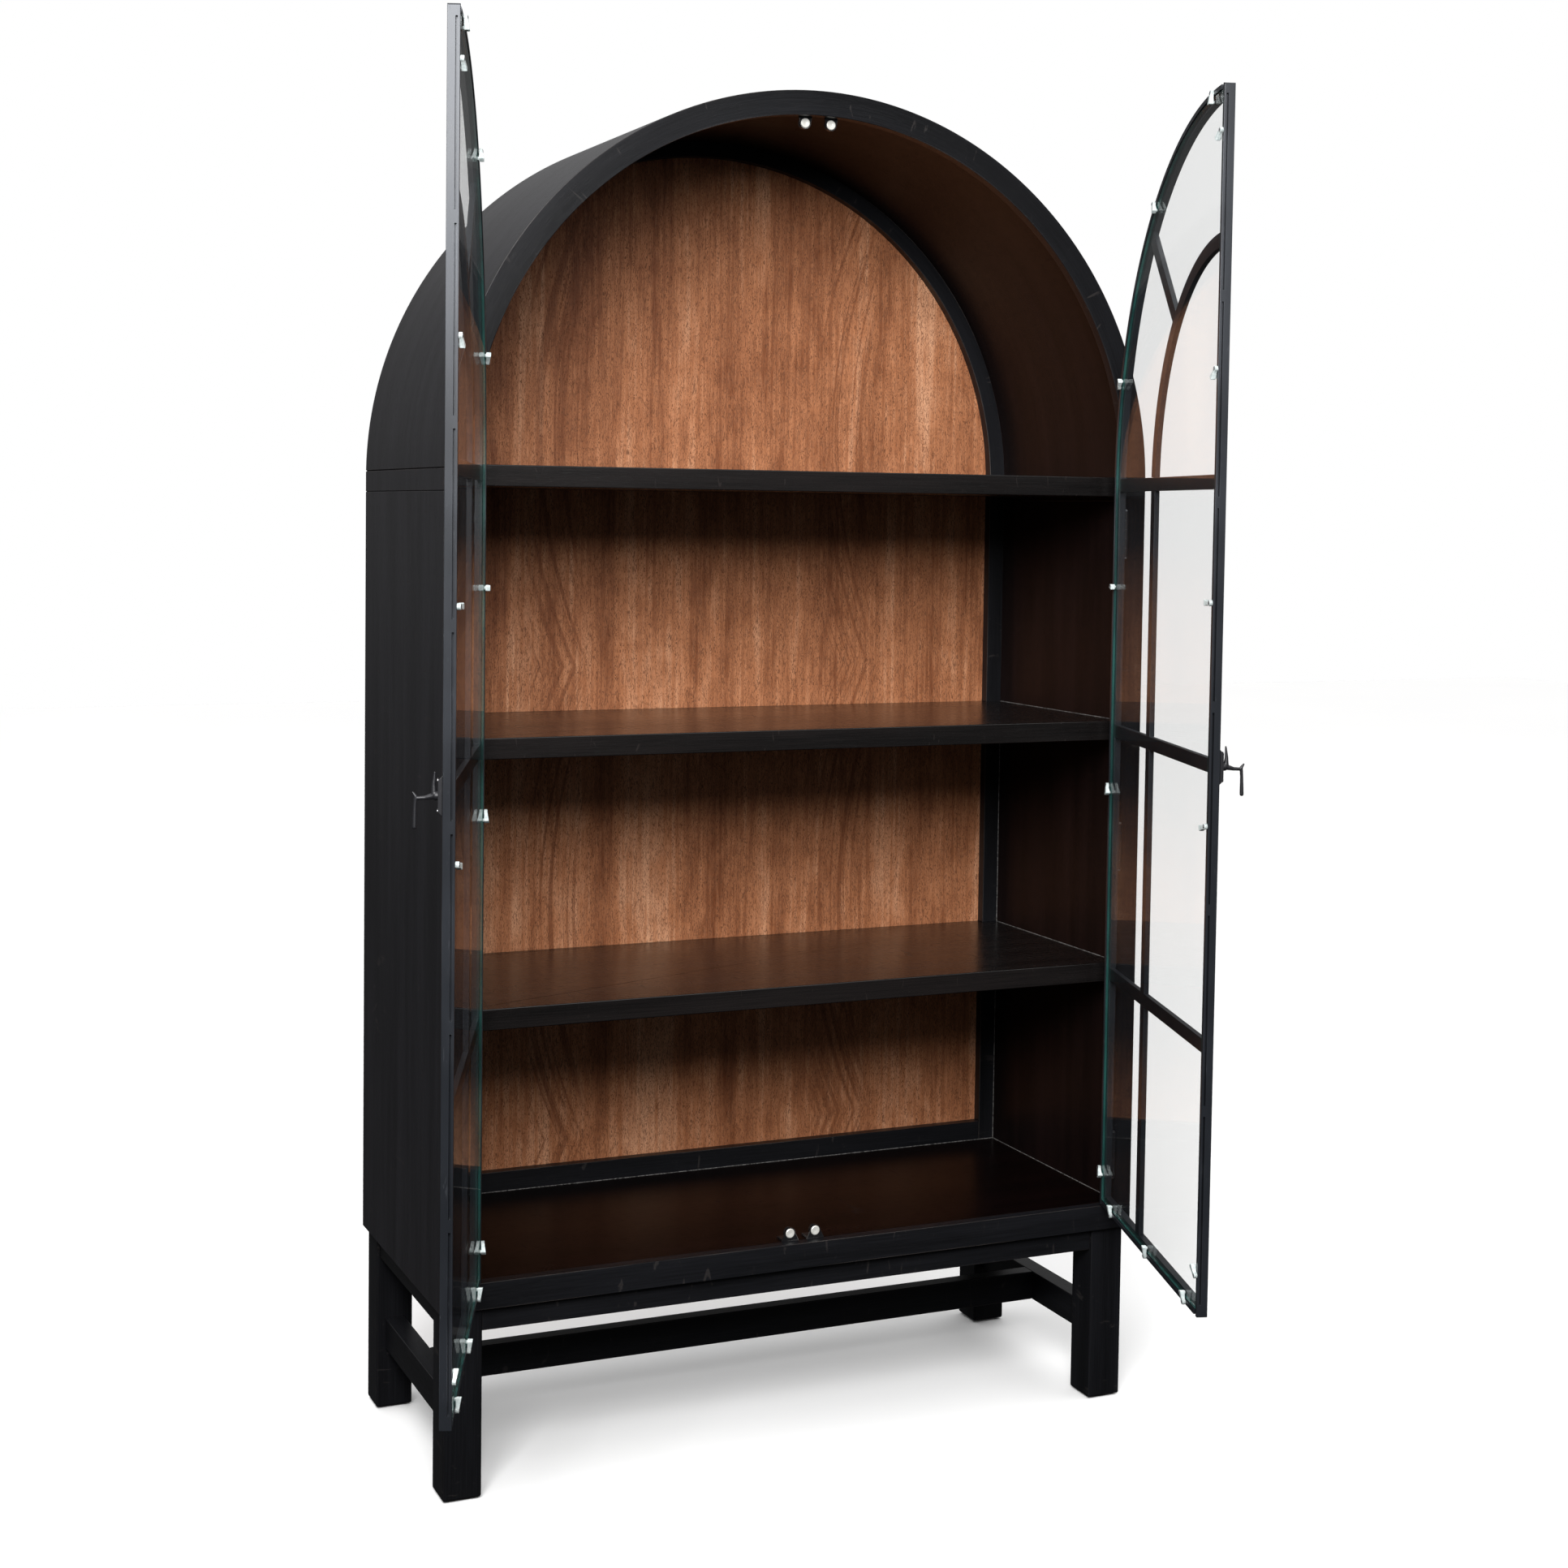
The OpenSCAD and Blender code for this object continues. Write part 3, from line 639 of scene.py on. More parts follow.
class Finishes:
    """Every material of the cabinet, made once."""

    def __init__(self) -> None:
        """Builds the materials."""
        body = StainedWood(
            "charcoal_stained_wood",
            (0.0048, 0.0045, 0.0058),
            (0.0140, 0.0134, 0.0165),
            (0.070, 0.052, 0.045),
            roughness=0.43,
            specular=0.38,
        )
        self.body = body.material()
        self.face = StainedWood(
            "black_stained_face_frame",
            (0.0027, 0.0028, 0.0034),
            (0.0080, 0.0082, 0.0100),
            (0.130, 0.110, 0.100),
            roughness=0.36,
            coat=0.05,
            wear=0.7,
            specular=0.22,
        ).material()
        self.lining = StainedWood(
            "dark_brown_lining",
            (0.0024, 0.0013, 0.0013),
            (0.0088, 0.0044, 0.0042),
            (0.050, 0.025, 0.017),
            roughness=0.42,
            coat=0.03,
            wear=0.2,
            specular=0.15,
        ).material()
        self.shelf = StainedWood(
            "black_semi_gloss_shelf",
            (0.0030, 0.0026, 0.0026),
            (0.0090, 0.0072, 0.0070),
            (0.060, 0.044, 0.040),
            roughness=0.25,
            coat=0.22,
            specular=0.38,
            relief=0.008 * MM,
        ).material()
        self.deck = StainedWood(
            "red_black_deck",
            (0.0012, 0.0006, 0.0006),
            (0.0036, 0.0014, 0.0013),
            (0.050, 0.036, 0.032),
            roughness=0.3,
            coat=0.02,
            specular=0.12,
            relief=0.008 * MM,
        ).material()
        self.filler = MouldedPlastic(
            "pale_joint_filler", (0.15, 0.145, 0.14), (0.012, 0.011, 0.011), 0.6
        ).material()
        self.veneer = RibbonVeneer(
            "brown_ribbon_veneer",
            (0.180, 0.054, 0.0185),
            (0.400, 0.156, 0.068),
            (0.650, 0.335, 0.190),
            (0.070, 0.020, 0.007),
        ).material()
        self.raw = RawWood("plain_softwood", (0.36, 0.25, 0.15), (0.24, 0.14, 0.075)).material()
        self.steel = CoatedSteel(
            "charcoal_coated_steel", (0.014, 0.016, 0.020), (0.16, 0.17, 0.19)
        ).material()
        self.iron = CoatedSteel(
            "black_coated_iron",
            (0.010, 0.010, 0.012),
            (0.14, 0.13, 0.13),
            roughness=0.42,
            metallic=0.2,
        ).material()
        self.bright = PlatedSteel(
            "zinc_plated_screws", (0.36, 0.36, 0.38), (0.16, 0.15, 0.14)
        ).material()
        self.magnet = PlatedSteel(
            "nickel_plated_magnet",
            (0.86, 0.85, 0.80),
            (0.60, 0.57, 0.51),
            roughness=0.3,
            metallic=0.45,
        ).material()
        # Painted highlight: the pale rub colour at full wear paints the thin bright highlight
        # along the catch brackets' edges.
        self.bracket = CoatedSteel(
            "worn_black_bracket",
            (0.012, 0.012, 0.013),
            (0.45, 0.44, 0.43),
            roughness=0.3,
            metallic=0.5,
            wear=1.0,
        ).material()
        self.clip = MouldedPlastic(
            "clouded_clip_plastic",
            (0.62, 0.68, 0.67),
            (0.42, 0.48, 0.48),
            roughness=0.28,
            passes=0.35,
        ).material()
        self.glide = MouldedPlastic(
            "black_glide_plastic", (0.018, 0.018, 0.019), (0.030, 0.030, 0.031)
        ).material()
        self.glass = ClearGlass("clear_float_glass", (0.985, 0.988, 0.986)).material()
        self.glass_edge = GlassEdge(
            "green_glass_edge", (0.018, 0.085, 0.075), (0.006, 0.032, 0.030)
        ).material()


# ---------------------------------------------------------------------------
# Mesh work
# ---------------------------------------------------------------------------


@dataclass(frozen=True)
class Station:
    """One place along a sweep: where it is, its outline there and how far along."""

    place: Place
    outline: Sequence[Point]
    along: float


def eased(outline: Sequence[Point], radius: float, steps: int = 3) -> list[Point]:
    """Rounds every corner of a closed outline.

    Args:
        outline: The corners, in order.
        radius: How far from its corner each rounding starts.
        steps: The number of straight pieces in a rounding.

    Returns:
        The rounded outline.
    """
    rounded: list[Point] = []
    for i, corner in enumerate(outline):
        here = Vector(corner)
        back = (Vector(outline[i - 1]) - here).normalized() * radius
        onward = (Vector(outline[(i + 1) % len(outline)]) - here).normalized() * radius
        for k in range(steps + 1):
            t = k / steps
            spot = here + back * (1 - t) ** 2 + onward * t**2
            rounded.append((spot.x, spot.y))
    return rounded


def shrunk(outline: Sequence[Point], by: float) -> list[Point]:
    """Moves a closed outline inwards.

    Args:
        outline: The corners, in order.
        by: How far each side moves.

    Returns:
        The smaller outline, with as many corners.
    """
    count = len(outline)
    area = sum(
        outline[i - 1][0] * outline[i][1] - outline[i][0] * outline[i - 1][1]
        for i in range(count)
    )
    turn = 1.0 if area > 0 else -1.0
    moved: list[Point] = []
    for i in range(count):
        here = Vector(outline[i])
        before = (here - Vector(outline[i - 1])).normalized()
        after = (Vector(outline[(i + 1) % count]) - here).normalized()
        sides = [Vector((-d.y, d.x)) * turn for d in (before, after)]
        middle = (sides[0] + sides[1]).normalized()
        spot = here + middle * (by / max(0.5, middle.dot(sides[0])))
        moved.append((spot.x, spot.y))
    return moved


def rectangle(low: Point, high: Point) -> list[Point]:
    """The corners of a rectangle."""
    return [low, (high[0], low[1]), high, (low[0], high[1])]


def sweep(bm: bmesh.types.BMesh, stations: Sequence[Station], shift: float = 0.0) -> None:
    """Adds a closed solid that follows an outline through its stations.

    Args:
        bm: The mesh that gets the solid.
        stations: The stations, in order, all with as many points.
        shift: Moves the grain's pattern, so that no two pieces match.
    """
    layer = bm.loops.layers.uv.get(GRAIN) or bm.loops.layers.uv.new(GRAIN)
    rings = [[bm.verts.new(s.place(p)) for p in s.outline] for s in stations]
    middle = stations[len(stations) // 2].outline
    count = len(middle)
    across = [0.0]
    for i in range(count):
        step = Vector(middle[(i + 1) % count]) - Vector(middle[i])
        across.append(across[-1] + step.length)
    for (near, start), (far, end) in zip(zip(rings, stations), zip(rings[1:], stations[1:])):
        for i in range(count):
            j = (i + 1) % count
            face = bm.faces.new((near[i], near[j], far[j], far[i]))
            spots = (
                (start.along, across[i]),
                (start.along, across[i + 1]),
                (end.along, across[i + 1]),
                (end.along, across[i]),
            )
            for loop, (u, v) in zip(face.loops, spots):
                loop[layer].uv = (u + shift, v + shift)
    first, last = stations[0].outline[::-1], stations[-1].outline
    for ring, outline in ((rings[0][::-1], first), (rings[-1], last)):
        face = bm.faces.new(ring)
        for loop, (u, v) in zip(face.loops, outline):
            loop[layer].uv = (END_GRAIN * u + shift, v + shift)


def roundings(ease: float, steps: int) -> list[Point]:
    """Pairs of how far in and how far along the ends of an eased solid are."""
    turns = [math.pi / 2 * k / steps for k in range(steps + 1)]
    return [(ease * (1 - math.sin(t)), ease * (1 - math.cos(t))) for t in turns]


def prism(
    bm: bmesh.types.BMesh,
    outline: Sequence[Point],
    axis: Axis,
    span: Point,
    ease: float,
    grain: Axis,
    shift: float = 0.0,
    steps: int = 2,
) -> None:
    """Adds a solid of one outline, with eased ends and straight grain.

    Args:
        bm: The mesh that gets the solid.
        outline: The outline in the other two directions, in X, Y, Z order.
        axis: The direction in which it is drawn out.
        span: Where it starts and ends.
        ease: How far its ends are rounded.
        grain: The direction of the wood's grain.
        shift: Moves the grain's pattern.
        steps: The number of straight pieces in a rounding.
    """

    def at(place: float) -> Place:
        """The place function of one height."""

        def spot(p: Point) -> Vector:
            """The outline's point at that height."""
            parts = list(p)
            parts.insert(axis.value, place)
            return Vector(parts)

        return spot

    start, end = span
    ends = roundings(ease, steps)
    stations = [Station(at(start + a), shrunk(outline, i), a) for i, a in ends]
    stations += [
        Station(at(end - a), shrunk(outline, i), end - start - a) for i, a in reversed(ends)
    ]
    known = set(bm.faces)
    sweep(bm, stations)
    lay_grain(bm, [f for f in bm.faces if f not in known], grain, shift)


def lay_grain(
    bm: bmesh.types.BMesh, faces: Sequence[bmesh.types.BMFace], grain: Axis, shift: float
) -> None:
    """Lays the grain map on faces, straight along one direction.

    Args:
        bm: The mesh.
        faces: The faces that get the map.
        grain: The direction of the grain.
        shift: Moves the pattern.
    """
    layer = bm.loops.layers.uv[GRAIN]
    along = grain.value
    others = [i for i in range(3) if i != along]
    for face in faces:
        face.normal_update()
        n = face.normal
        across = others[0] if abs(n[others[1]]) > abs(n[others[0]]) else others[1]
        is_end = abs(n[along]) > 0.7
        for loop in face.loops:
            co = loop.vert.co
            u = co[others[0]] * END_GRAIN if is_end else co[along]
            v = co[others[1]] if is_end else co[across]
            loop[layer].uv = (u + shift, v + shift * 1.7)


def board(
    bm: bmesh.types.BMesh,
    low: Vector,
    high: Vector,
    ease: float,
    grain: Axis,
    shift: float = 0.0,
    steps: int = 2,
) -> None:
    """Adds a straight board with every edge eased.

    Args:
        bm: The mesh that gets the board.
        low: Its lowest corner.
        high: Its highest corner.
        ease: How far its edges are rounded.
        grain: The direction of its grain.
        shift: Moves the grain's pattern.
        steps: The number of straight pieces in a rounding.
    """
    a, b = [i for i in range(3) if i != grain.value]
    outline = eased(rectangle((low[a], low[b]), (high[a], high[b])), ease, steps)
    span = (low[grain.value], high[grain.value])
    prism(bm, outline, grain, span, ease, grain, shift, steps)


def turned(bm: bmesh.types.BMesh, profile: Sequence[Point], sides: int = 24) -> None:
    """Adds a solid turned about Y.

    Args:
        bm: The mesh that gets the solid.
        profile: Its (radius, y) points, the first and last on the axis.
        sides: The number of sides.
    """
    inner = list(profile[1:-1])
    poles = [bm.verts.new((0, profile[0][1], 0)), bm.verts.new((0, profile[-1][1], 0))]
    rings = []
    for radius, y in inner:
        turns = [2 * math.pi * k / sides for k in range(sides)]
        rings.append(
            [bm.verts.new((radius * math.cos(t), y, radius * math.sin(t))) for t in turns]
        )
    for k in range(sides):
        j = (k + 1) % sides
        bm.faces.new((poles[0], rings[0][k], rings[0][j]))
        bm.faces.new((poles[1], rings[-1][j], rings[-1][k]))
        for low, high in zip(rings, rings[1:]):
            bm.faces.new((low[k], high[k], high[j], low[j]))


@dataclass(frozen=True)
class Dress:
    """How a finished piece is shown: its material, body, slot and hidden CAD nodes."""

    material: bpy.types.Material
    slot: str
    body: str = CABINET
    replaces: tuple[str, ...] = ()
    second: bpy.types.Material | None = None


def finish_piece(name: str, bm: bmesh.types.BMesh, dress: Dress) -> bpy.types.Object:
    """Makes an object of a mesh, and puts it on its body.

    Args:
        name: The piece's name.
        bm: Its mesh, which is freed.
        dress: How it is shown.

    Returns:
        The object.
    """
    bmesh.ops.remove_doubles(bm, verts=bm.verts, dist=WELD)
    bmesh.ops.recalc_face_normals(bm, faces=bm.faces)
    if dress.second is None:
        for face in bm.faces:
            face.material_index = 0
    mesh = bpy.data.meshes.new(name)
    bm.to_mesh(mesh)
    bm.free()
    mesh.shade_smooth()
    mesh.set_sharp_from_angle(angle=SMOOTH_TURN)
    mesh.materials.append(dress.material)
    if dress.second:
        mesh.materials.append(dress.second)
    piece = bpy.data.objects.new(name, mesh)
    bpy.context.scene.collection.objects.link(piece)
    even = piece.modifiers.new("Even shading", "WEIGHTED_NORMAL")
    even.keep_sharp = True
    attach(piece, dress.body)
    if dress.replaces:
        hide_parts(*dress.replaces)
    log.info("%s: %d faces", name, len(mesh.polygons))
    return piece


def dress_node(node: str, material: bpy.types.Material) -> None:
    """Gives a CAD node that stays as it is its material."""
    mesh = frame["nodes"][node].data
    mesh.materials.clear()
    mesh.materials.append(material)
    log.info("%s: kept from the frame", node)


# ---------------------------------------------------------------------------
# Geometry Nodes
# ---------------------------------------------------------------------------


class GeometryWork:
    """A Geometry Nodes tree while it is being built, and what runs it."""

    def __init__(self, name: str, inputs: dict[str, str]) -> None:
        """Makes a tree with named inputs.

        Args:
            name: The tree's name.
            inputs: The type of each input's socket, by the input's name.
        """
        self.tree = bpy.data.node_groups.new(name, "GeometryNodeTree")
        face = self.tree.interface
        face.new_socket("Geometry", in_out="INPUT", socket_type="NodeSocketGeometry")
        self.names = {
            key: face.new_socket(key, in_out="INPUT", socket_type=kind).identifier
            for key, kind in inputs.items()
        }
        face.new_socket("Geometry", in_out="OUTPUT", socket_type="NodeSocketGeometry")
        self.given = self.node("NodeGroupInput").outputs

    def node(
        self, kind: str, settings: dict | None = None, inputs: dict | None = None
    ) -> bpy.types.Node:
        """Adds any node.

        Args:
            kind: The node's type.
            settings: Its settings, set first.
            inputs: Its sockets, by name or number, as values or sockets.

        Returns:
            The node.
        """
        made = self.tree.nodes.new(kind)
        for key, value in (settings or {}).items():
            setattr(made, key, value)
        for key, value in (inputs or {}).items():
            if isinstance(value, bpy.types.NodeSocket):
                self.tree.links.new(value, made.inputs[key])
            else:
                made.inputs[key].default_value = value
        return made

    def close(self, geometry: bpy.types.NodeSocket) -> None:
        """Ends the tree in Realize Instances and Set Material."""
        real = self.node("GeometryNodeRealizeInstances", None, {0: geometry})
        clad = self.node(
            "GeometryNodeSetMaterial",
            None,
            {"Geometry": real.outputs[0], "Material": self.given["Material"]},
        )
        self.node("NodeGroupOutput", None, {0: clad.outputs[0]})

    def run(self, mesh: bpy.types.Mesh, values: dict[str, object]) -> bmesh.types.BMesh:
        """Runs the tree on a mesh.

        Args:
            mesh: What goes in.
            values: The inputs' values by name.

        Returns:
            The resulting mesh.
        """
        holder = bpy.data.objects.new("holder", mesh)
        modifier = holder.modifiers.new("Repeat", "NODES")
        modifier.node_group = self.tree
        for key, value in values.items():
            modifier[self.names[key]] = value
        bpy.context.scene.collection.objects.link(holder)
        shown = holder.evaluated_get(bpy.context.evaluated_depsgraph_get())
        result = bpy.data.meshes.new_from_object(shown)
        bm = bmesh.new()
        bm.from_mesh(result)
        holder.modifiers.clear()
        bpy.data.objects.remove(holder)
        bpy.data.meshes.remove(result)
        return bm


@dataclass(frozen=True)
class Spot:
    """Where a repeated piece goes, and how it is turned."""

    at: Vector
    turn: tuple[float, float, float] = (0.0, 0.0, 0.0)


class Repeater:
    """Sets a template on every spot and makes one mesh of them."""

    def __init__(self) -> None:
        """Builds the tree."""
        work = GeometryWork(
            "set_on_spots", {"Template": "NodeSocketObject", "Material": "NodeSocketMaterial"}
        )
        template = work.node("GeometryNodeObjectInfo", None, {"Object": work.given["Template"]})
        turn = work.node(
            "GeometryNodeInputNamedAttribute", {"data_type": "FLOAT_VECTOR"}, {"Name": "turn"}
        )
        rotation = work.node(
            "FunctionNodeEulerToRotation", None, {0: turn.outputs["Attribute"]}
        )
        copies = work.node(
            "GeometryNodeInstanceOnPoints",
            None,
            {
                "Points": work.given["Geometry"],
                "Instance": template.outputs["Geometry"],
                "Rotation": rotation.outputs[0],
            },
        )
        work.close(copies.outputs["Instances"])
        self.work = work

    def set_out(
        self, template: bmesh.types.BMesh, spots: Sequence[Spot], material: bpy.types.Material
    ) -> bmesh.types.BMesh:
        """Sets copies of a template on spots.

        Args:
            template: The piece that is repeated, which is freed.
            spots: Where the copies go.
            material: Their material.

        Returns:
            One mesh with all of them.
        """
        bmesh.ops.recalc_face_normals(template, faces=template.faces)
        shape = bpy.data.meshes.new("template")
        template.to_mesh(shape)
        template.free()
        pattern = bpy.data.objects.new("template", shape)
        points = bpy.data.meshes.new("spots")
        points.from_pydata([s.at for s in spots], [], [])
        turns = points.attributes.new("turn", "FLOAT_VECTOR", "POINT")
        turns.data.foreach_set("vector", [part for s in spots for part in s.turn])
        bm = self.work.run(points, {"Template": pattern, "Material": material})
        bpy.data.objects.remove(pattern)
        return bm


class BarBender:
    """Bends a flat bar with eased edges to part of a circle in the XZ plane."""

    def __init__(self) -> None:
        """Builds the tree."""
        numbers = ("Radius", "Start", "Sweep", "Width", "Depth", "Ease")
        inputs = dict.fromkeys(numbers, "NodeSocketFloat")
        work = GeometryWork("bend_bar", {**inputs, "Material": "NodeSocketMaterial"})
        arc = work.node(
            "GeometryNodeCurveArc",
            {"mode": "RADIUS"},
            {
                "Resolution": 49,
                "Radius": work.given["Radius"],
                "Start Angle": work.given["Start"],
                "Sweep Angle": work.given["Sweep"],
            },
        )
        flat = work.node(
            "GeometryNodeSetCurveNormal", {"mode": "Z_UP"}, {"Curve": arc.outputs[0]}
        )
        section = work.node(
            "GeometryNodeCurvePrimitiveQuadrilateral",
            {"mode": "RECTANGLE"},
            {"Width": work.given["Width"], "Height": work.given["Depth"]},
        )
        rounded = work.node(
            "GeometryNodeFilletCurve",
            {"mode": "POLY"},
            {"Curve": section.outputs[0], "Count": 2, "Radius": work.given["Ease"]},
        )
        bar = work.node(
            "GeometryNodeCurveToMesh",
            None,
            {"Curve": flat.outputs[0], "Profile Curve": rounded.outputs[0], "Fill Caps": True},
        )
        upright = work.node(
            "GeometryNodeTransform",
            None,
            {"Geometry": bar.outputs[0], "Rotation": (math.pi / 2, 0.0, 0.0)},
        )
        work.close(upright.outputs[0])
        self.work = work

    def bend(self, values: dict[str, object]) -> bmesh.types.BMesh:
        """Bends one bar about the origin, with the tree's inputs by name."""
        return self.work.run(bpy.data.meshes.new("bar"), values)


# ---------------------------------------------------------------------------
# Cabinet body
# ---------------------------------------------------------------------------


@dataclass(frozen=True)
class Measures:
    """The main sizes of the cabinet, read from the frame."""

    half_w: float
    inner_r: float
    opening_r: float
    front_y: float
    lip_y: float
    face_y: float
    shell_y: float
    back_y: float
    back_frame_y: float
    panel_y: float
    back_half: float
    bottom_z: float
    floor_z: float
    joint_z: float
    spring_z: float

    @classmethod
    def from_frame(cls) -> "Measures":
        """Reads the sizes from the CAD nodes' boxes."""
        shell_low, shell_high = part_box("arch_shell")
        side_low, side_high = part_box("right_side_panel")
        stile_low, stile_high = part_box("face_right_stile")
        panel_low, panel_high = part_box("back_panel")
        rail_low, rail_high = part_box("back_bottom_rail")
        return cls(
            half_w=side_high.x,
            inner_r=side_low.x,
            opening_r=stile_low.x,
            front_y=stile_low.y,
            lip_y=shell_low.y - 0.8 * MM,
            face_y=stile_high.y,
            shell_y=shell_low.y,
            back_y=panel_high.y,
            back_frame_y=rail_low.y,
            panel_y=panel_low.y,
            back_half=rail_high.x,
            bottom_z=side_low.z,
            floor_z=stile_low.z,
            joint_z=side_high.z,
            spring_z=shell_high.z - side_high.x,
        )


def on_arch(spring_z: float, turn: float) -> Place:
    """The place function at one angle of an arch, from its right-hand side."""
    cos, sin = math.cos(turn), math.sin(turn)
    return lambda p: Vector((p[0] * cos, p[1], spring_z + p[0] * sin))


def arch_stations(
    section: Sequence[Point], spring_z: float, radius: float, ends: Point, steps: int
) -> list[Station]:
    """Stations of one section along an arch.

    Args:
        section: The section, as (radius, y).
        spring_z: The height of the springline.
        radius: Where the grain's length is measured.
        ends: The first and the last angle, from the right-hand side.
        steps: The number of straight pieces.

    Returns:
        The stations, in order.
    """
    start, end = ends
    turns = [start + (end - start) * k / steps for k in range(steps + 1)]
    return [Station(on_arch(spring_z, t), section, radius * t) for t in turns]


@dataclass
class Carcass:
    """The side panels and the bent shell of the arch."""

    sizes: Measures
    finishes: Finishes
    ease: float = 1.3 * MM
    groove_z: float = 1.548
    groove_w: float = 2.6 * MM
    groove_depth: float = 2.2 * MM
    arc_steps: int = 120

    def build(self) -> None:
        """Builds and dresses the sides and the arch."""
        for shift, side in ((0.31, "left"), (0.73, "right")):
            self.side_panel(side, shift)
        self.arch_shell()

    def side_panel(self, side: str, shift: float) -> None:
        """Builds one side panel, lined on the inside.

        Args:
            side: Its side's name.
            shift: Moves the grain's pattern.
        """
        node = f"{side}_side_panel"
        low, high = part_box(node)
        bm = bmesh.new()
        board(bm, low, high, self.ease, Axis.Z, shift)
        inward = -1.0 if side == "right" else 1.0
        bm.faces.ensure_lookup_table()
        for face in bm.faces:
            face.normal_update()
        bmesh.ops.recalc_face_normals(bm, faces=bm.faces)
        for face in bm.faces:
            if face.normal.x * inward > 0.9:
                face.material_index = 1
        finish_piece(
            f"{side}_side_board",
            bm,
            Dress(
                self.finishes.body, "body_wood", replaces=(node,), second=self.finishes.lining
            ),
        )

    def arch_shell(self) -> None:
        """Builds the bent shell, with its groove and its lining."""
        s = self.sizes
        outline = eased(rectangle((s.inner_r, s.shell_y), (s.half_w, s.back_y)), self.ease)
        grooved = [(min(r, s.half_w - self.groove_depth), y) for r, y in outline]
        end = shrunk(outline, self.ease)
        drop = s.spring_z - s.joint_z
        middle = (self.groove_z - s.spring_z) / s.half_w
        half = self.groove_w / 2 / s.half_w
        groove = [(middle - half, outline), (middle, grooved), (middle + half, outline)]
        mirrored = [(math.pi - turn, shape) for turn, shape in reversed(groove)]
        span = math.pi - 2 * (middle + half)
        rest = [
            (middle + half + span * k / self.arc_steps, outline)
            for k in range(1, self.arc_steps)
        ]
        turns = [(0.0, outline), *groove, *rest, *mirrored, (math.pi, outline)]
        stations = [
            self._station(0.0, drop, end),
            self._station(0.0, drop - self.ease, outline),
            *[self._station(turn, 0.0, shape) for turn, shape in turns],
            self._station(math.pi, drop - self.ease, outline),
            self._station(math.pi, drop, end),
        ]
        bm = bmesh.new()
        sweep(bm, stations, 1.9)
        bmesh.ops.recalc_face_normals(bm, faces=bm.faces)
        centre = Vector((0.0, 0.0, s.spring_z))
        for face in bm.faces:
            out = face.calc_center_median() - centre
            out.y = 0.0
            out.z = max(0.0, out.z)
            if face.normal.dot(out.normalized()) < -0.9:
                face.material_index = 1
        finish_piece(
            "bent_arch_shell",
            bm,
            Dress(
                self.finishes.body,
                "body_wood",
                replaces=("arch_shell",),
                second=self.finishes.lining,
            ),
        )

    def _station(self, turn: float, drop: float, outline: list[Point]) -> Station:
        """One station of the shell, at an angle or on a leg."""
        s = self.sizes
        place = on_arch(s.spring_z, turn)
        sign = 1.0 if turn < math.pi / 2 else -1.0

        def spot(p: Point) -> Vector:
            """The outline's point, lowered on a leg."""
            return place(p) - Vector((0.0, 0.0, drop))

        return Station(spot, outline, s.half_w * turn - sign * drop)


@dataclass
class FaceFrame:
    """The frame round the front opening."""

    sizes: Measures
    finishes: Finishes
    ease: float = 1.2 * MM
    joint: float = 0.15 * MM
    arc_steps: int = 120

    def section(self) -> list[Point]:
        """The L-shaped section of the arch and the stiles, as (radius, y)."""
        s = self.sizes
        return eased(
            [
                (s.opening_r, s.front_y),
                (s.half_w, s.front_y),
                (s.half_w, s.lip_y),
                (s.inner_r, s.lip_y),
                (s.inner_r, s.face_y),
                (s.opening_r, s.face_y),
            ],
            self.ease,
        )

    def build(self) -> None:
        """Builds and dresses the frame's four members."""
        self.arch()
        for side in Side:
            self.stile(side)
        self.bottom_rail()

    def arch(self) -> None:
        """Builds the arched member."""
        s = self.sizes
        section = self.section()
        gap = self.joint / s.half_w
        ends = (gap, math.pi - gap)
        stations = arch_stations(section, s.spring_z, s.half_w, ends, self.arc_steps)
        bm = bmesh.new()
        sweep(bm, stations, 4.4)
        finish_piece(
            "arched_face_member",
            bm,
            Dress(self.finishes.face, "face_wood", replaces=("face_arch",)),
        )

    def stile(self, side: Side) -> None:
        """Builds one upright member.

        Args:
            side: Its side.
        """
        s = self.sizes
        section = self.section()
        heights = [s.floor_z + self.joint, s.spring_z - self.joint]

        def at(z: float) -> Place:
            """The place function at one height."""
            return lambda p: Vector((side.value * p[0], p[1], z))

        bm = bmesh.new()
        sweep(bm, [Station(at(z), section, z) for z in heights], 5.0 + side.value)
        name = side.name.lower()
        finish_piece(
            f"{name}_face_stile_member",
            bm,
            Dress(self.finishes.face, "face_wood", replaces=(f"face_{name}_stile",)),
        )

    def bottom_rail(self) -> None:
        """Builds the rail under the opening."""
        s = self.sizes
        plan = eased(
            [
                (-s.half_w, s.front_y),
                (s.half_w, s.front_y),
                (s.half_w, s.lip_y),
                (s.inner_r, s.lip_y),
                (s.inner_r, s.face_y),
                (-s.inner_r, s.face_y),
                (-s.inner_r, s.lip_y),
                (-s.half_w, s.lip_y),
            ],
            self.ease,
        )
        bm = bmesh.new()
        prism(bm, plan, Axis.Z, (s.bottom_z, s.floor_z), self.ease, Axis.X, 7.7)
        finish_piece(
            "face_bottom_member",
            bm,
            Dress(self.finishes.face, "face_wood", replaces=("face_bottom_rail",)),
        )


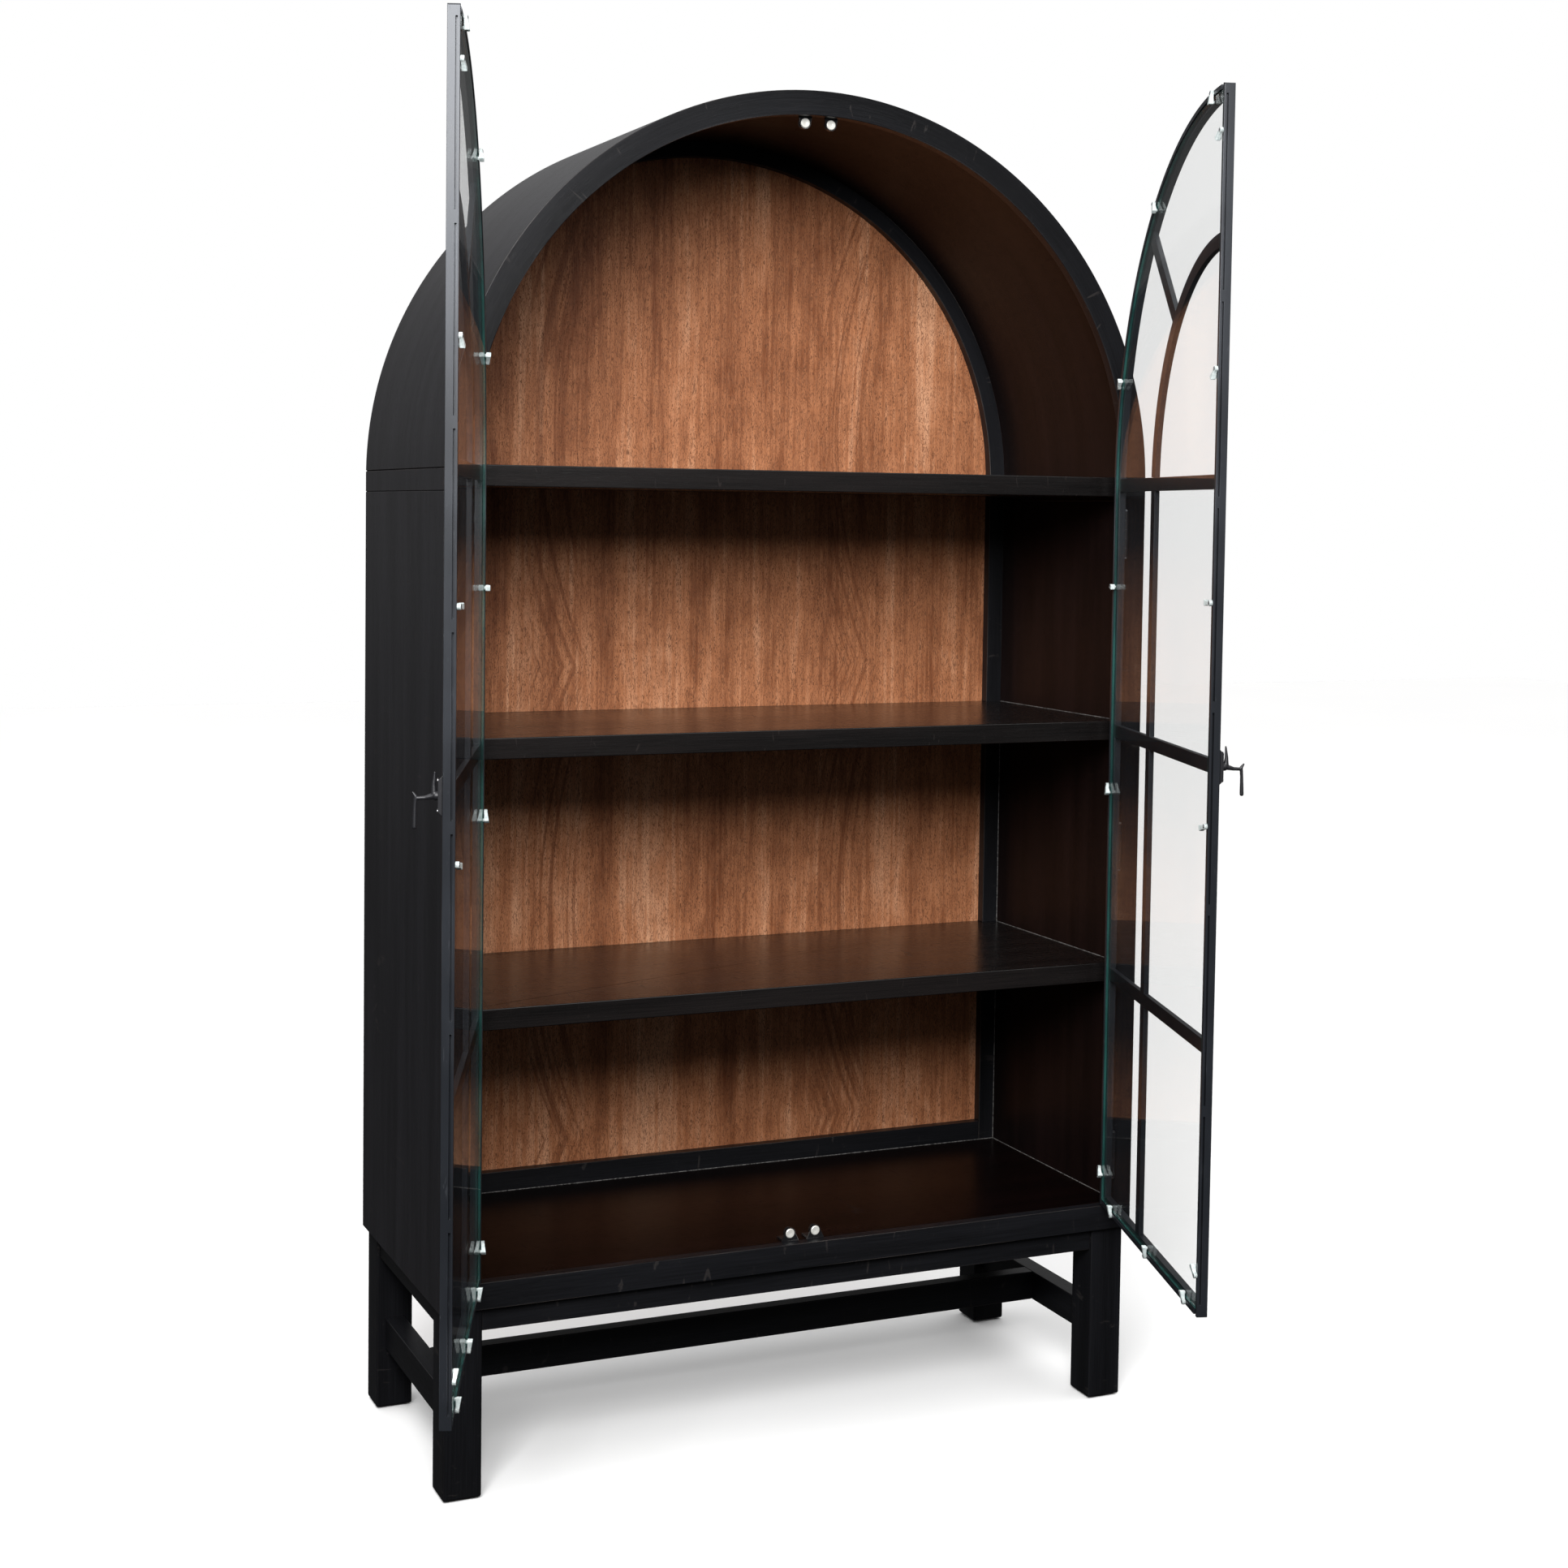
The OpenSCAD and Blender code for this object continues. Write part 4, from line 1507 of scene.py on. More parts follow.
@dataclass
class Shelving:
    """The three shelves and the bottom board."""

    sizes: Measures
    finishes: Finishes
    ease: float = 1.6 * MM
    bead: float = 0.9 * MM

    def build(self) -> None:
        """Builds and dresses the shelves and the board."""
        for shift, node in ((2.2, "spring_shelf"), (3.1, "middle_shelf"), (4.9, "lower_shelf")):
            self.shelf(node, shift)
        bm = bmesh.new()
        board(bm, *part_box("bottom_board"), 0.4 * MM, Axis.X, 6.3)
        finish_piece(
            "bottom_deck",
            bm,
            Dress(self.finishes.deck, "shelf_wood", replaces=("bottom_board",)),
        )
        self.seams()

    def seams(self) -> None:
        """Runs a thin bead of filler into the inner corners."""
        s = self.sizes
        w, corner_x, corner_y = self.bead, s.inner_r, s.back_frame_y
        decks = [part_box(node) for node in ("bottom_board", "lower_shelf", "middle_shelf")]
        bm = bmesh.new()
        for low, high in decks:
            for side in Side:
                x = side.value * corner_x
                inner = x - side.value * w
                flank = [(inner, high.z), (x, high.z), (x, high.z + w)]
                span = (low.y + 2.0 * w, corner_y)
                prism(bm, flank, Axis.Y, span, 0.1 * MM, Axis.Y, steps=1)
        base, head = decks[0][1].z, decks[-1][0].z
        for side in Side:
            x = side.value * corner_x
            inner = x - side.value * w
            post = [(inner, corner_y), (x, corner_y - w), (x, corner_y)]
            prism(bm, post, Axis.Z, (base, head), 0.1 * MM, Axis.Z, steps=1)
        rear = [(corner_y - w, base), (corner_y, base), (corner_y, base + w)]
        span = (-corner_x, corner_x)
        prism(bm, rear, Axis.X, span, 0.1 * MM, Axis.X, steps=1)
        dress = Dress(self.finishes.filler, "shelf_wood")
        finish_piece("corner_filler_beads", bm, dress)

    def shelf(self, node: str, shift: float) -> None:
        """Builds one shelf, with the tongue that fills the back frame.

        Args:
            node: Its CAD node.
            shift: Moves the grain's pattern.
        """
        s = self.sizes
        low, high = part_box(node)
        tongue = s.back_half - 0.5 * MM
        plan = eased(
            [
                (low.x, low.y),
                (high.x, low.y),
                (high.x, s.back_frame_y),
                (tongue, s.back_frame_y),
                (tongue, high.y),
                (-tongue, high.y),
                (-tongue, s.back_frame_y),
                (low.x, s.back_frame_y),
            ],
            0.3 * MM,
        )
        bm = bmesh.new()
        prism(bm, plan, Axis.Z, (low.z, high.z), self.ease, Axis.X, shift, 3)
        finish_piece(
            f"{node}_board", bm, Dress(self.finishes.shelf, "shelf_wood", replaces=(node,))
        )


@dataclass
class Back:
    """The veneered back panel and the frame in front of it."""

    sizes: Measures
    finishes: Finishes
    ease: float = 1.0 * MM
    rise: float = 5.0 * MM
    arc_steps: int = 96

    def build(self) -> None:
        """Builds and dresses the back."""
        self.panel()
        self.arch()
        self.straight_members()

    def panel(self) -> None:
        """Builds the panel, straight below and round above."""
        s = self.sizes
        turns = [math.pi * k / self.arc_steps for k in range(self.arc_steps + 1)]
        outline = [(-s.inner_r, s.bottom_z), (s.inner_r, s.bottom_z)]
        outline += [
            (s.inner_r * math.cos(t), s.spring_z + s.inner_r * math.sin(t)) for t in turns
        ]
        bm = bmesh.new()
        prism(bm, outline, Axis.Y, (s.panel_y, s.back_y), 0.3 * MM, Axis.Z, 0.0, 1)
        finish_piece(
            "veneered_back_panel",
            bm,
            Dress(self.finishes.veneer, "back_wood", replaces=("back_panel",)),
        )

    def arch(self) -> None:
        """Builds the arched member, whose inner arc sits a little higher."""
        s = self.sizes
        width = s.inner_r - s.back_half
        section = eased(rectangle((0.0, s.back_frame_y), (width, s.panel_y)), self.ease)

        def at(turn: float) -> Place:
            """The place function at one angle."""

            def spot(p: Point) -> Vector:
                """The section's point, between the two arcs."""
                radius = s.back_half + p[0]
                lift = self.rise * (1 - p[0] / width)
                x, z = radius * math.cos(turn), radius * math.sin(turn)
                return Vector((x, p[1], s.spring_z + lift + z))

            return spot

        turns = [math.pi * k / self.arc_steps for k in range(self.arc_steps + 1)]
        stations = [Station(at(t), section, s.inner_r * t) for t in turns]
        bm = bmesh.new()
        sweep(bm, stations, 8.1)
        finish_piece(
            "arched_back_member",
            bm,
            Dress(self.finishes.face, "back_frame_wood", replaces=("back_arch",)),
        )

    def straight_members(self) -> None:
        """Builds the two uprights and the bottom rail."""
        s = self.sizes
        low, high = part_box("back_stiles")
        width = s.inner_r - s.back_half
        bm = bmesh.new()
        for shift, x in ((9.3, low.x), (10.2, high.x - width)):
            ends = (Vector((x, low.y, low.z)), Vector((x + width, high.y, high.z)))
            board(bm, *ends, self.ease, Axis.Z, shift)
        finish_piece(
            "upright_back_members",
            bm,
            Dress(self.finishes.face, "back_frame_wood", replaces=("back_stiles",)),
        )
        bm = bmesh.new()
        board(bm, *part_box("back_bottom_rail"), self.ease, Axis.X, 11.4)
        finish_piece(
            "bottom_back_member",
            bm,
            Dress(self.finishes.face, "back_frame_wood", replaces=("back_bottom_rail",)),
        )


@dataclass
class Stand:
    """The legs, aprons, stretchers, glue blocks and glides."""

    finishes: Finishes
    leg_ease: float = 3.6 * MM
    rail_ease: float = 1.5 * MM

    def build(self) -> None:
        """Builds and dresses the stand."""
        legs = ("front_left", "front_right", "back_left", "back_right")
        for i, name in enumerate(legs):
            self.member(f"{name}_leg", f"{name}_post", self.leg_ease, Axis.Z, 12.0 + i)
        rails = {
            "front_apron": Axis.X,
            "back_apron": Axis.X,
            "left_stretcher": Axis.Y,
            "right_stretcher": Axis.Y,
            "long_stretcher": Axis.X,
        }
        for i, (node, grain) in enumerate(rails.items()):
            self.member(node, f"{node}_rail", self.rail_ease, grain, 16.3 + i)
        self.side_aprons()
        dress_node("corner_blocks", self.finishes.raw)
        dress_node("foot_glides", self.finishes.glide)

    def member(self, node: str, name: str, ease: float, grain: Axis, shift: float) -> None:
        """Builds one straight member in its CAD node's box.

        Args:
            node: The CAD node.
            name: The piece's name.
            ease: How far its edges are rounded.
            grain: The direction of its grain.
            shift: Moves the grain's pattern.
        """
        bm = bmesh.new()
        board(bm, *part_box(node), ease, grain, shift, 3)
        finish_piece(name, bm, Dress(self.finishes.face, "stand_wood", replaces=(node,)))

    def side_aprons(self) -> None:
        """Builds the two short aprons."""
        low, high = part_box("side_aprons")
        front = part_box("front_apron")
        thick = front[1].y - front[0].y
        bm = bmesh.new()
        for shift, x in ((22.5, low.x), (23.7, high.x - thick)):
            ends = (Vector((x, low.y, low.z)), Vector((x + thick, high.y, high.z)))
            board(bm, *ends, self.rail_ease, Axis.Y, shift)
        finish_piece(
            "side_apron_rails",
            bm,
            Dress(self.finishes.face, "stand_wood", replaces=("side_aprons",)),
        )


@dataclass
class Hardware:
    """The catches and the cabinet's half of the hinges."""

    finishes: Finishes
    repeater: Repeater
    radius: float = 7.5 * MM
    chamfer: float = 0.9 * MM

    def build(self) -> None:
        """Builds and dresses the fixed hardware."""
        low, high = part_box("catch_magnets")
        spots = [
            Spot(Vector((x, low.y, z)))
            for x in (low.x + self.radius, high.x - self.radius)
            for z in (low.z + self.radius, high.z - self.radius)
        ]
        template = bmesh.new()
        length = high.y - low.y
        rim = self.radius - self.chamfer
        turned(
            template,
            [
                (0.0, 0.4 * MM),
                (rim * 0.45, 0.25 * MM),
                (rim * 0.6, 0.0),
                (rim, 0.0),
                (self.radius, self.chamfer),
                (self.radius, length),
                (0.0, length),
            ],
            32,
        )
        bm = self.repeater.set_out(template, spots, self.finishes.magnet)
        finish_piece(
            "catch_magnet_discs",
            bm,
            Dress(self.finishes.magnet, "magnet", replaces=("catch_magnets",)),
        )
        dress_node("catch_brackets", self.finishes.bracket)
        dress_node("frame_hinge_leaves", self.finishes.iron)
        dress_node("hinge_pins", self.finishes.bright)
        dress_node("frame_hinge_screws", self.finishes.bright)


# ---------------------------------------------------------------------------
# Doors
# ---------------------------------------------------------------------------


@dataclass
class Door:
    """One glazed steel door, drawn closed on the right and then swung open.

    The tucks are angles by which a curved bar's end goes on into its neighbour.
    """

    side: Side
    sizes: Measures
    finishes: Finishes
    repeater: Repeater
    bender: BarBender
    gap: float = 3.0 * MM
    meeting: float = 1.5 * MM
    threshold: float = 5.0 * MM
    setback: float = 1.0 * MM
    thick: float = 16.0 * MM
    member: float = 16.0 * MM
    lip: float = 7.0 * MM
    rebate: float = 5.0 * MM
    bar_w: float = 21.0 * MM
    bar_t: float = 8.0 * MM
    bar_r: float = 343.0 * MM
    spoke_angle: float = math.radians(45.5)
    lower_bars: tuple[float, ...] = (0.729, 1.135)
    glass_t: float = 4.0 * MM
    glass_gap: float = 2.0 * MM
    glass_seat: float = 0.2 * MM
    slot_w: float = 3.0 * MM
    slot_depth: float = 5.5 * MM
    slot_break: float = 16.0 * MM
    slot_margins: Point = (18.0 * MM, 15.0 * MM)
    left_slots: int = 7
    right_slots: int = 6
    top_round: float = 3.0 * MM
    tuck: float = 0.0006
    bar_tuck: float = 0.002
    bar_ease: float = 0.6 * MM
    bar_gap: float = 0.05 * MM
    clip_in: float = 4.0 * MM
    clip_slope: float = 0.6
    clip_head: float = 4.4 * MM
    clip_tip: float = 1.8 * MM
    clip_t: float = 5.0 * MM
    clip_foot_x: float = 13.0 * MM
    clip_end: float = 16.2 * MM
    handle_z: float = 1.134
    handle_reach: float = 38.0 * MM
    plate_half: Point = (6.5 * MM, 25.5 * MM)
    plate_t: float = 6.0 * MM
    plate_screw: float = 19.0 * MM
    ease: float = 0.7 * MM
    arc_steps: int = 72

    def __post_init__(self) -> None:
        """Works out the planes and the placing of the door."""
        s = self.sizes
        self.name = f"{self.side.name.lower()}_door"
        self.outer = s.opening_r - self.gap
        self.inner = self.outer - self.member
        self.stile_x = self.meeting + self.member
        self.front_y = s.front_y + self.setback
        self.rear_y = self.front_y + self.thick
        self.rebate_y = self.rear_y - self.rebate
        self.bottom_z = s.floor_z + self.threshold
        self.rail_z = self.bottom_z + self.member
        joint = next(j for j in frame["joints"] if j["child"] == self.name)
        opening = math.radians(-joint["range_deg"][0]) * joint["axis"][2]
        hinge = Vector(joint["pos_m"])
        swing = (
            Matrix.Translation(hinge)
            @ Matrix.Rotation(opening, 4, "Z")
            @ Matrix.Translation(-hinge)
        )
        mirror = Matrix.Diagonal((self.side.value, 1.0, 1.0, 1.0))
        self.placing = swing @ mirror

    def finish(
        self,
        name: str,
        bm: bmesh.types.BMesh,
        material: bpy.types.Material,
        slot: str,
        *nodes: str,
        second: bpy.types.Material | None = None,
    ) -> None:
        """Swings a piece open with the door and finishes it.

        Args:
            name: The piece's name, after the door's.
            bm: Its mesh, on the closed right-hand door.
            material: Its material.
            slot: Its material slot.
            nodes: The CAD nodes it stands for, after the door's name.
            second: A second material.
        """
        bmesh.ops.transform(bm, matrix=self.placing, verts=bm.verts)
        hidden = tuple(f"{self.name}_{node}" for node in nodes)
        dress = Dress(material, slot, self.name, hidden, second)
        finish_piece(f"{self.name}_{name}", bm, dress)

    def build(self) -> None:
        """Builds and dresses every piece of the door."""
        self.meeting_stile()
        self.hinge_stile()
        self.arch_rail()
        self.bottom_rail()
        self.straight_bars()
        self.arched_bar()
        self.spoke()
        self.glass()
        self.clips()
        self.screws()
        self.handle()
        dress_node(f"{self.name}_hinge_leaves", self.finishes.iron)

    def member_section(self, outer: float, inner: float) -> list[Point]:
        """The L-shaped section of a frame member, as (place, y).

        Args:
            outer: Where its outer side is.
            inner: Where its inner side is.

        Returns:
            The eased outline.
        """
        step = outer - self.lip if outer > inner else outer + self.lip
        return eased(
            [
                (inner, self.front_y),
                (outer, self.front_y),
                (outer, self.rear_y),
                (step, self.rear_y),
                (step, self.rebate_y),
                (inner, self.rebate_y),
            ],
            self.ease,
            2,
        )

    def meeting_stile(self) -> None:
        """Builds the stile at the middle, with the row of slots in its edge."""
        plain = self.member_section(self.meeting, self.stile_x)
        slot_front = self.rebate_y - 1.0 * MM
        slot_rear = slot_front + self.slot_w
        deep = self.meeting + self.slot_depth
        split = next(
            i
            for i, p in enumerate(plain)
            if p[1] > slot_front and abs(p[0] - self.meeting) < WELD
        )

        def section(depth_x: float) -> list[Point]:
            """The section with a notch of that depth in its edge."""
            notch = [
                (self.meeting, slot_front),
                (depth_x, slot_front + 0.2 * MM),
                (depth_x, slot_rear - 0.2 * MM),
                (self.meeting, slot_rear),
            ]
            if plain[split - 1][1] > plain[split][1]:
                notch.reverse()
            return plain[:split] + notch + plain[split:]

        closed, open_ = section(self.meeting), section(deep)
        top = self.sizes.spring_z + self.outer
        count = self.right_slots if self.side is Side.RIGHT else self.left_slots
        low, high = self.bottom_z + self.slot_margins[0], top - self.slot_margins[1]
        pitch = (high - low + self.slot_break) / count

        def at(z: float) -> Place:
            """The place function at one height."""
            return lambda p: Vector((p[0], p[1], z))

        ends = roundings(self.ease, 2)
        stations = [
            Station(at(self.bottom_z + a), shrunk(closed, i * 0.999), a) for i, a in ends
        ]
        for k in range(count):
            start = low + k * pitch
            end = start + pitch - self.slot_break
            stations += [
                Station(at(z), shape, z)
                for z, shape in ((start, closed), (start, open_), (end, open_), (end, closed))
            ]
        corner = roundings(self.top_round, 4)
        stations += [
            Station(self._rounded_top(at(top - a), i), closed, top - a)
            for i, a in reversed(corner)
        ]
        bm = bmesh.new()
        sweep(bm, stations)
        self.finish(
            "meeting_member", bm, self.finishes.steel, "door_frame_steel", "meeting_stile"
        )

    def _rounded_top(self, place: Place, inset: float) -> Place:
        """Pulls the meeting edge in near the top corner."""

        def spot(p: Point) -> Vector:
            """The section's point, pulled in."""
            moved = place(p)
            moved.x = max(moved.x, self.meeting + inset)
            return moved

        return spot

    def hinge_stile(self) -> None:
        """Builds the stile that carries the hinges."""
        section = self.member_section(self.outer, self.inner)
        bm = bmesh.new()
        span = (self.bottom_z, self.sizes.spring_z)
        prism(bm, section, Axis.Z, span, 0.3 * MM, Axis.Z)
        self.finish("hinge_member", bm, self.finishes.steel, "door_frame_steel", "hinge_stile")

    def arch_rail(self) -> None:
        """Builds the arched top rail."""
        section = self.member_section(self.outer, self.inner)
        end = math.acos(self.stile_x / (self.outer - self.member / 2)) + self.tuck
        spring_z = self.sizes.spring_z
        stations = arch_stations(section, spring_z, self.outer, (0.0, end), self.arc_steps)
        bm = bmesh.new()
        sweep(bm, stations)
        self.finish("arched_member", bm, self.finishes.steel, "door_frame_steel", "arch_rail")

    def bottom_rail(self) -> None:
        """Builds the bottom rail."""
        section = [(y, z) for z, y in self.member_section(self.bottom_z, self.rail_z)]
        bm = bmesh.new()
        prism(bm, section, Axis.X, (self.stile_x, self.inner), 0.2 * MM, Axis.X)
        self.finish("bottom_member", bm, self.finishes.steel, "door_frame_steel", "bottom_rail")

    def bar(self, bm: bmesh.types.BMesh, low: Point, high: Point, grain: Axis) -> None:
        """Adds one straight glazing bar.

        Args:
            bm: The mesh that gets the bar.
            low: Its lowest x and z.
            high: Its highest x and z.
            grain: The direction in which it runs.
        """
        front = self.rebate_y - self.bar_t
        ends = (
            Vector((low[0], front, low[1])),
            Vector((high[0], self.rebate_y - self.bar_gap, high[1])),
        )
        board(bm, *ends, self.bar_ease, grain)

    def straight_bars(self) -> None:
        """Builds the cross bars and the upright bars."""
        half = self.bar_w / 2
        heights = (*self.lower_bars, self.sizes.spring_z)
        bm = bmesh.new()
        for z in heights:
            self.bar(bm, (self.stile_x, z - half), (self.inner, z + half), Axis.X)
        self.finish(
            "cross_glazing_bars", bm, self.finishes.steel, "glazing_bar_steel", "cross_bars"
        )
        bm = bmesh.new()
        starts = (self.rail_z, *[z + half for z in heights[:-1]])
        for start, z in zip(starts, heights):
            low, high = self.bar_r - half, self.bar_r + half
            self.bar(bm, (low, start), (high, z - half), Axis.Z)
        self.finish(
            "upright_glazing_bars", bm, self.finishes.steel, "glazing_bar_steel", "upright_bars"
        )

    def arched_bar(self) -> None:
        """Builds the inner arch, bent from flat bar."""
        start = math.asin(self.bar_w / 2 / self.bar_r)
        end = math.acos(self.stile_x / self.bar_r)
        bm = self.bender.bend(
            {
                "Radius": self.bar_r,
                "Start": start,
                "Sweep": end - start + self.bar_tuck,
                "Width": self.bar_w,
                "Depth": self.bar_t,
                "Ease": self.bar_ease,
                "Material": self.finishes.steel,
            }
        )
        middle = self.rebate_y - self.bar_t / 2 - self.bar_gap
        shift = Vector((0.0, middle, self.sizes.spring_z))
        bmesh.ops.translate(bm, vec=shift, verts=bm.verts)
        self.finish(
            "arched_glazing_bar", bm, self.finishes.steel, "glazing_bar_steel", "arch_bar"
        )

    def spoke(self) -> None:
        """Builds the short bar between the two arches."""
        bm = bmesh.new()
        half = self.bar_w / 2
        start, end = self.bar_r + half - 0.2 * MM, self.inner + 0.1 * MM
        self.bar(bm, (start, -half), (end, half), Axis.X)
        turn = Matrix.Rotation(-self.spoke_angle, 4, "Y")
        lift = Matrix.Translation((0.0, 0.0, self.sizes.spring_z))
        bmesh.ops.transform(bm, matrix=lift @ turn, verts=bm.verts)
        self.finish("glazing_spoke", bm, self.finishes.steel, "glazing_bar_steel", "spoke")

    def glass(self) -> None:
        """Builds the pane, with its ground edge."""
        s = self.sizes
        radius = self.outer - self.lip - self.glass_gap
        x0 = self.meeting + self.lip + self.glass_gap
        z0 = self.bottom_z + self.lip + self.glass_gap
        end = math.acos(x0 / radius)
        outline = [(x0, z0), (radius, z0)]
        outline += [
            (
                radius * math.cos(end * k / self.arc_steps),
                s.spring_z + radius * math.sin(end * k / self.arc_steps),
            )
            for k in range(self.arc_steps + 1)
        ]
        front = self.rebate_y + self.glass_seat
        bm = bmesh.new()
        span = (front, front + self.glass_t)
        prism(bm, outline, Axis.Y, span, 0.5 * MM, Axis.Z, steps=1)
        for face in bm.faces:
            face.normal_update()
            if abs(face.normal.y) < 0.9:
                face.material_index = 1
        self.finish(
            "glass_pane",
            bm,
            self.finishes.glass,
            "glass",
            "glass",
            second=self.finishes.glass_edge,
        )

    def clip_spots(self) -> list[Spot]:
        """Where the clips are screwed to the lip, and the degrees each is turned."""
        s = self.sizes
        edge = self.outer - self.clip_in
        arch = ((84.3, 264.0), (51.3, 231.0), (16.8, 140.0))
        hinge_side = ((1.373, 180.0), (1.043, 238.0), (0.399, 225.0))
        middle_side = (
            (2.033, -45.0), (1.699, -55.0), (1.368, 0.0), (1.049, -15.0), (0.399, 55.0)
        )
        rail = ((0.478, 80.0), (0.270, 100.0), (0.060, 75.0))
        y = self.rear_y
        places = [
            (on_arch(s.spring_z, math.radians(angle))((edge, y)), turn) for angle, turn in arch
        ]
        flat = [(edge, z, turn) for z, turn in hinge_side]
        flat += [(self.meeting + self.clip_in, z, turn) for z, turn in middle_side]
        flat += [(x, self.bottom_z + self.clip_in, turn) for x, turn in rail]
        places += [(Vector((x, y, z)), turn) for x, z, turn in flat]
        return [Spot(at, (0.0, -math.radians(turn), 0.0)) for at, turn in places]

    def clips(self) -> None:
        """Builds the glass clips: a collar with a tongue over the pane."""
        template = bmesh.new()
        collar, tip, tall = self.clip_head, self.clip_tip, self.clip_t
        foot_x, end = self.clip_foot_x, self.clip_end
        steps = 8
        turns = [math.pi * k / steps for k in range(steps + 1)]
        head = [(-collar * math.sin(t), collar * math.cos(t)) for t in turns]
        nose = [
            (
                end - tip + tip * math.sin(t),
                math.copysign(collar - tip, -math.cos(t)) - tip * math.cos(t),
            )
            for t in turns
        ]
        waist = 0.4 * foot_x
        outline = [*head, (waist, -3.1 * MM), *nose, (waist, 3.1 * MM)]
        prism(template, outline, Axis.Y, (0.4 * MM, tall), 0.7 * MM, Axis.X)
        for vert in template.verts:
            vert.co.y *= 1.0 + self.clip_slope * max(0.0, vert.co.x) / end
        turned(
            template,
            [
                (0.0, 0.0),
                (collar - 0.6 * MM, 0.0),
                (collar, 0.6 * MM),
                (collar - 0.2 * MM, tall - 0.4 * MM),
                (collar - 0.8 * MM, tall),
                (1.6 * MM, tall),
                (1.5 * MM, tall - 1.2 * MM),
                (0.0, tall - 1.2 * MM),
            ],
        )
        foot = bmesh.new()
        turned(
            foot,
            [(0.0, -0.7 * MM), (2.4 * MM, -0.7 * MM), (2.8 * MM, 0.9 * MM), (0.0, 0.9 * MM)],
        )
        bmesh.ops.translate(foot, vec=(foot_x, 0.0, 0.0), verts=foot.verts)
        holder = bpy.data.meshes.new("foot")
        foot.to_mesh(holder)
        foot.free()
        template.from_mesh(holder)
        bm = self.repeater.set_out(template, self.clip_spots(), self.finishes.clip)
        self.finish(
            "glass_holding_clips", bm, self.finishes.clip, "clip_plastic", "glass_clips"
        )

    def screws(self) -> None:
        """Builds the cross-head screws of the clips and the handle."""
        spots = [
            Spot(s.at + Vector((0.0, 4.4 * MM, 0.0)), (math.pi, 0.7 * i, 0.0))
            for i, s in enumerate(self.clip_spots())
        ]
        plate_x = self.meeting + self.member / 2
        face = self.front_y - self.plate_t
        spots += [
            Spot(Vector((plate_x, face, self.handle_z + dz)), (0.0, 0.4 + dz, 0.0))
            for dz in (-self.plate_screw, self.plate_screw)
        ]
        bm = self.repeater.set_out(self.screw(), spots, self.finishes.bright)
        self.finish("cross_head_screws", bm, self.finishes.bright, "screw_steel", "screws")

    @staticmethod
    def screw() -> bmesh.types.BMesh:
        """A pan-head screw with a cross in its head, which faces -Y."""
        bm = bmesh.new()
        head, shank = 3.0 * MM, 1.4 * MM
        sides, arms = 24, 6
        radii = (0.35 * head, 0.75 * head, head, head, shank, shank)
        rises = (-1.5 * MM, -1.3 * MM, -0.7 * MM, 0.0, 0.0, 5.0 * MM)
        turns = [2 * math.pi * k / sides for k in range(sides)]
        rings = []
        for i, (radius, y) in enumerate(zip(radii, rises)):
            ring = []
            for k, t in enumerate(turns):
                in_arm = k % arms in (0, 1, arms - 1)
                sunk = y + 1.1 * MM if i < 1 and in_arm else y
                ring.append(bm.verts.new((radius * math.cos(t), sunk, radius * math.sin(t))))
            rings.append(ring)
        centre = bm.verts.new((0.0, -0.3 * MM, 0.0))
        tip = bm.verts.new((0.0, 6.5 * MM, 0.0))
        for k in range(sides):
            j = (k + 1) % sides
            bm.faces.new((centre, rings[0][k], rings[0][j]))
            bm.faces.new((tip, rings[-1][j], rings[-1][k]))
            for low, high in zip(rings, rings[1:]):
                bm.faces.new((low[k], high[k], high[j], low[j]))
        return bm

    def handle(self) -> None:
        """Builds the back plate and the lever with its drop grip."""
        plate_x = self.meeting + self.member / 2
        face = self.front_y - self.plate_t
        (half_w, half_h), bevel = self.plate_half, self.plate_t
        side_view = eased(
            [
                (self.front_y, self.handle_z - half_h),
                (face, self.handle_z - half_h + bevel),
                (face, self.handle_z + half_h - bevel),
                (self.front_y, self.handle_z + half_h),
            ],
            0.8 * MM,
        )
        bm = bmesh.new()
        span = (plate_x - half_w, plate_x + half_w)
        prism(bm, side_view, Axis.X, span, 0.8 * MM, Axis.Z)
        iron = self.finishes.iron
        self.finish("handle_back_plate", bm, iron, "handle_iron", "handle_plate")
        tip = self.front_y - self.handle_reach
        z = self.handle_z
        limbs = [
            (
                [(face + 0.5 * MM, z), (face - 4.0 * MM, z), (face - 6.0 * MM, z)],
                (5.8, 5.4, 4.2),
            ),
            (
                [
                    (face - 5.0 * MM, z),
                    (face - 5.5 * MM, z + 0.014),
                    (face - 4.2 * MM, z + 0.029),
                ],
                (4.2, 2.6, 1.3),
            ),
            (
                [(face - 5.0 * MM, z), (face - 0.016, z - 0.0025), (tip + 0.006, z - 0.003)],
                (4.3, 2.7, 2.3),
            ),
            (
                [
                    (tip + 0.001, z + 0.004),
                    (tip + 0.0045, z - 0.001),
                    (tip + 0.0035, z - 0.014),
                    (tip + 0.003, z - 0.039),
                ],
                (1.4, 2.4, 2.3, 2.9),
            ),
        ]
        bm = bmesh.new()
        for path, radii in limbs:
            self.limb(bm, plate_x, path, [r * MM for r in radii])
        lever = self.fused(bm)
        self.finish("handle_cast_lever", lever, iron, "handle_iron", "handle_lever")

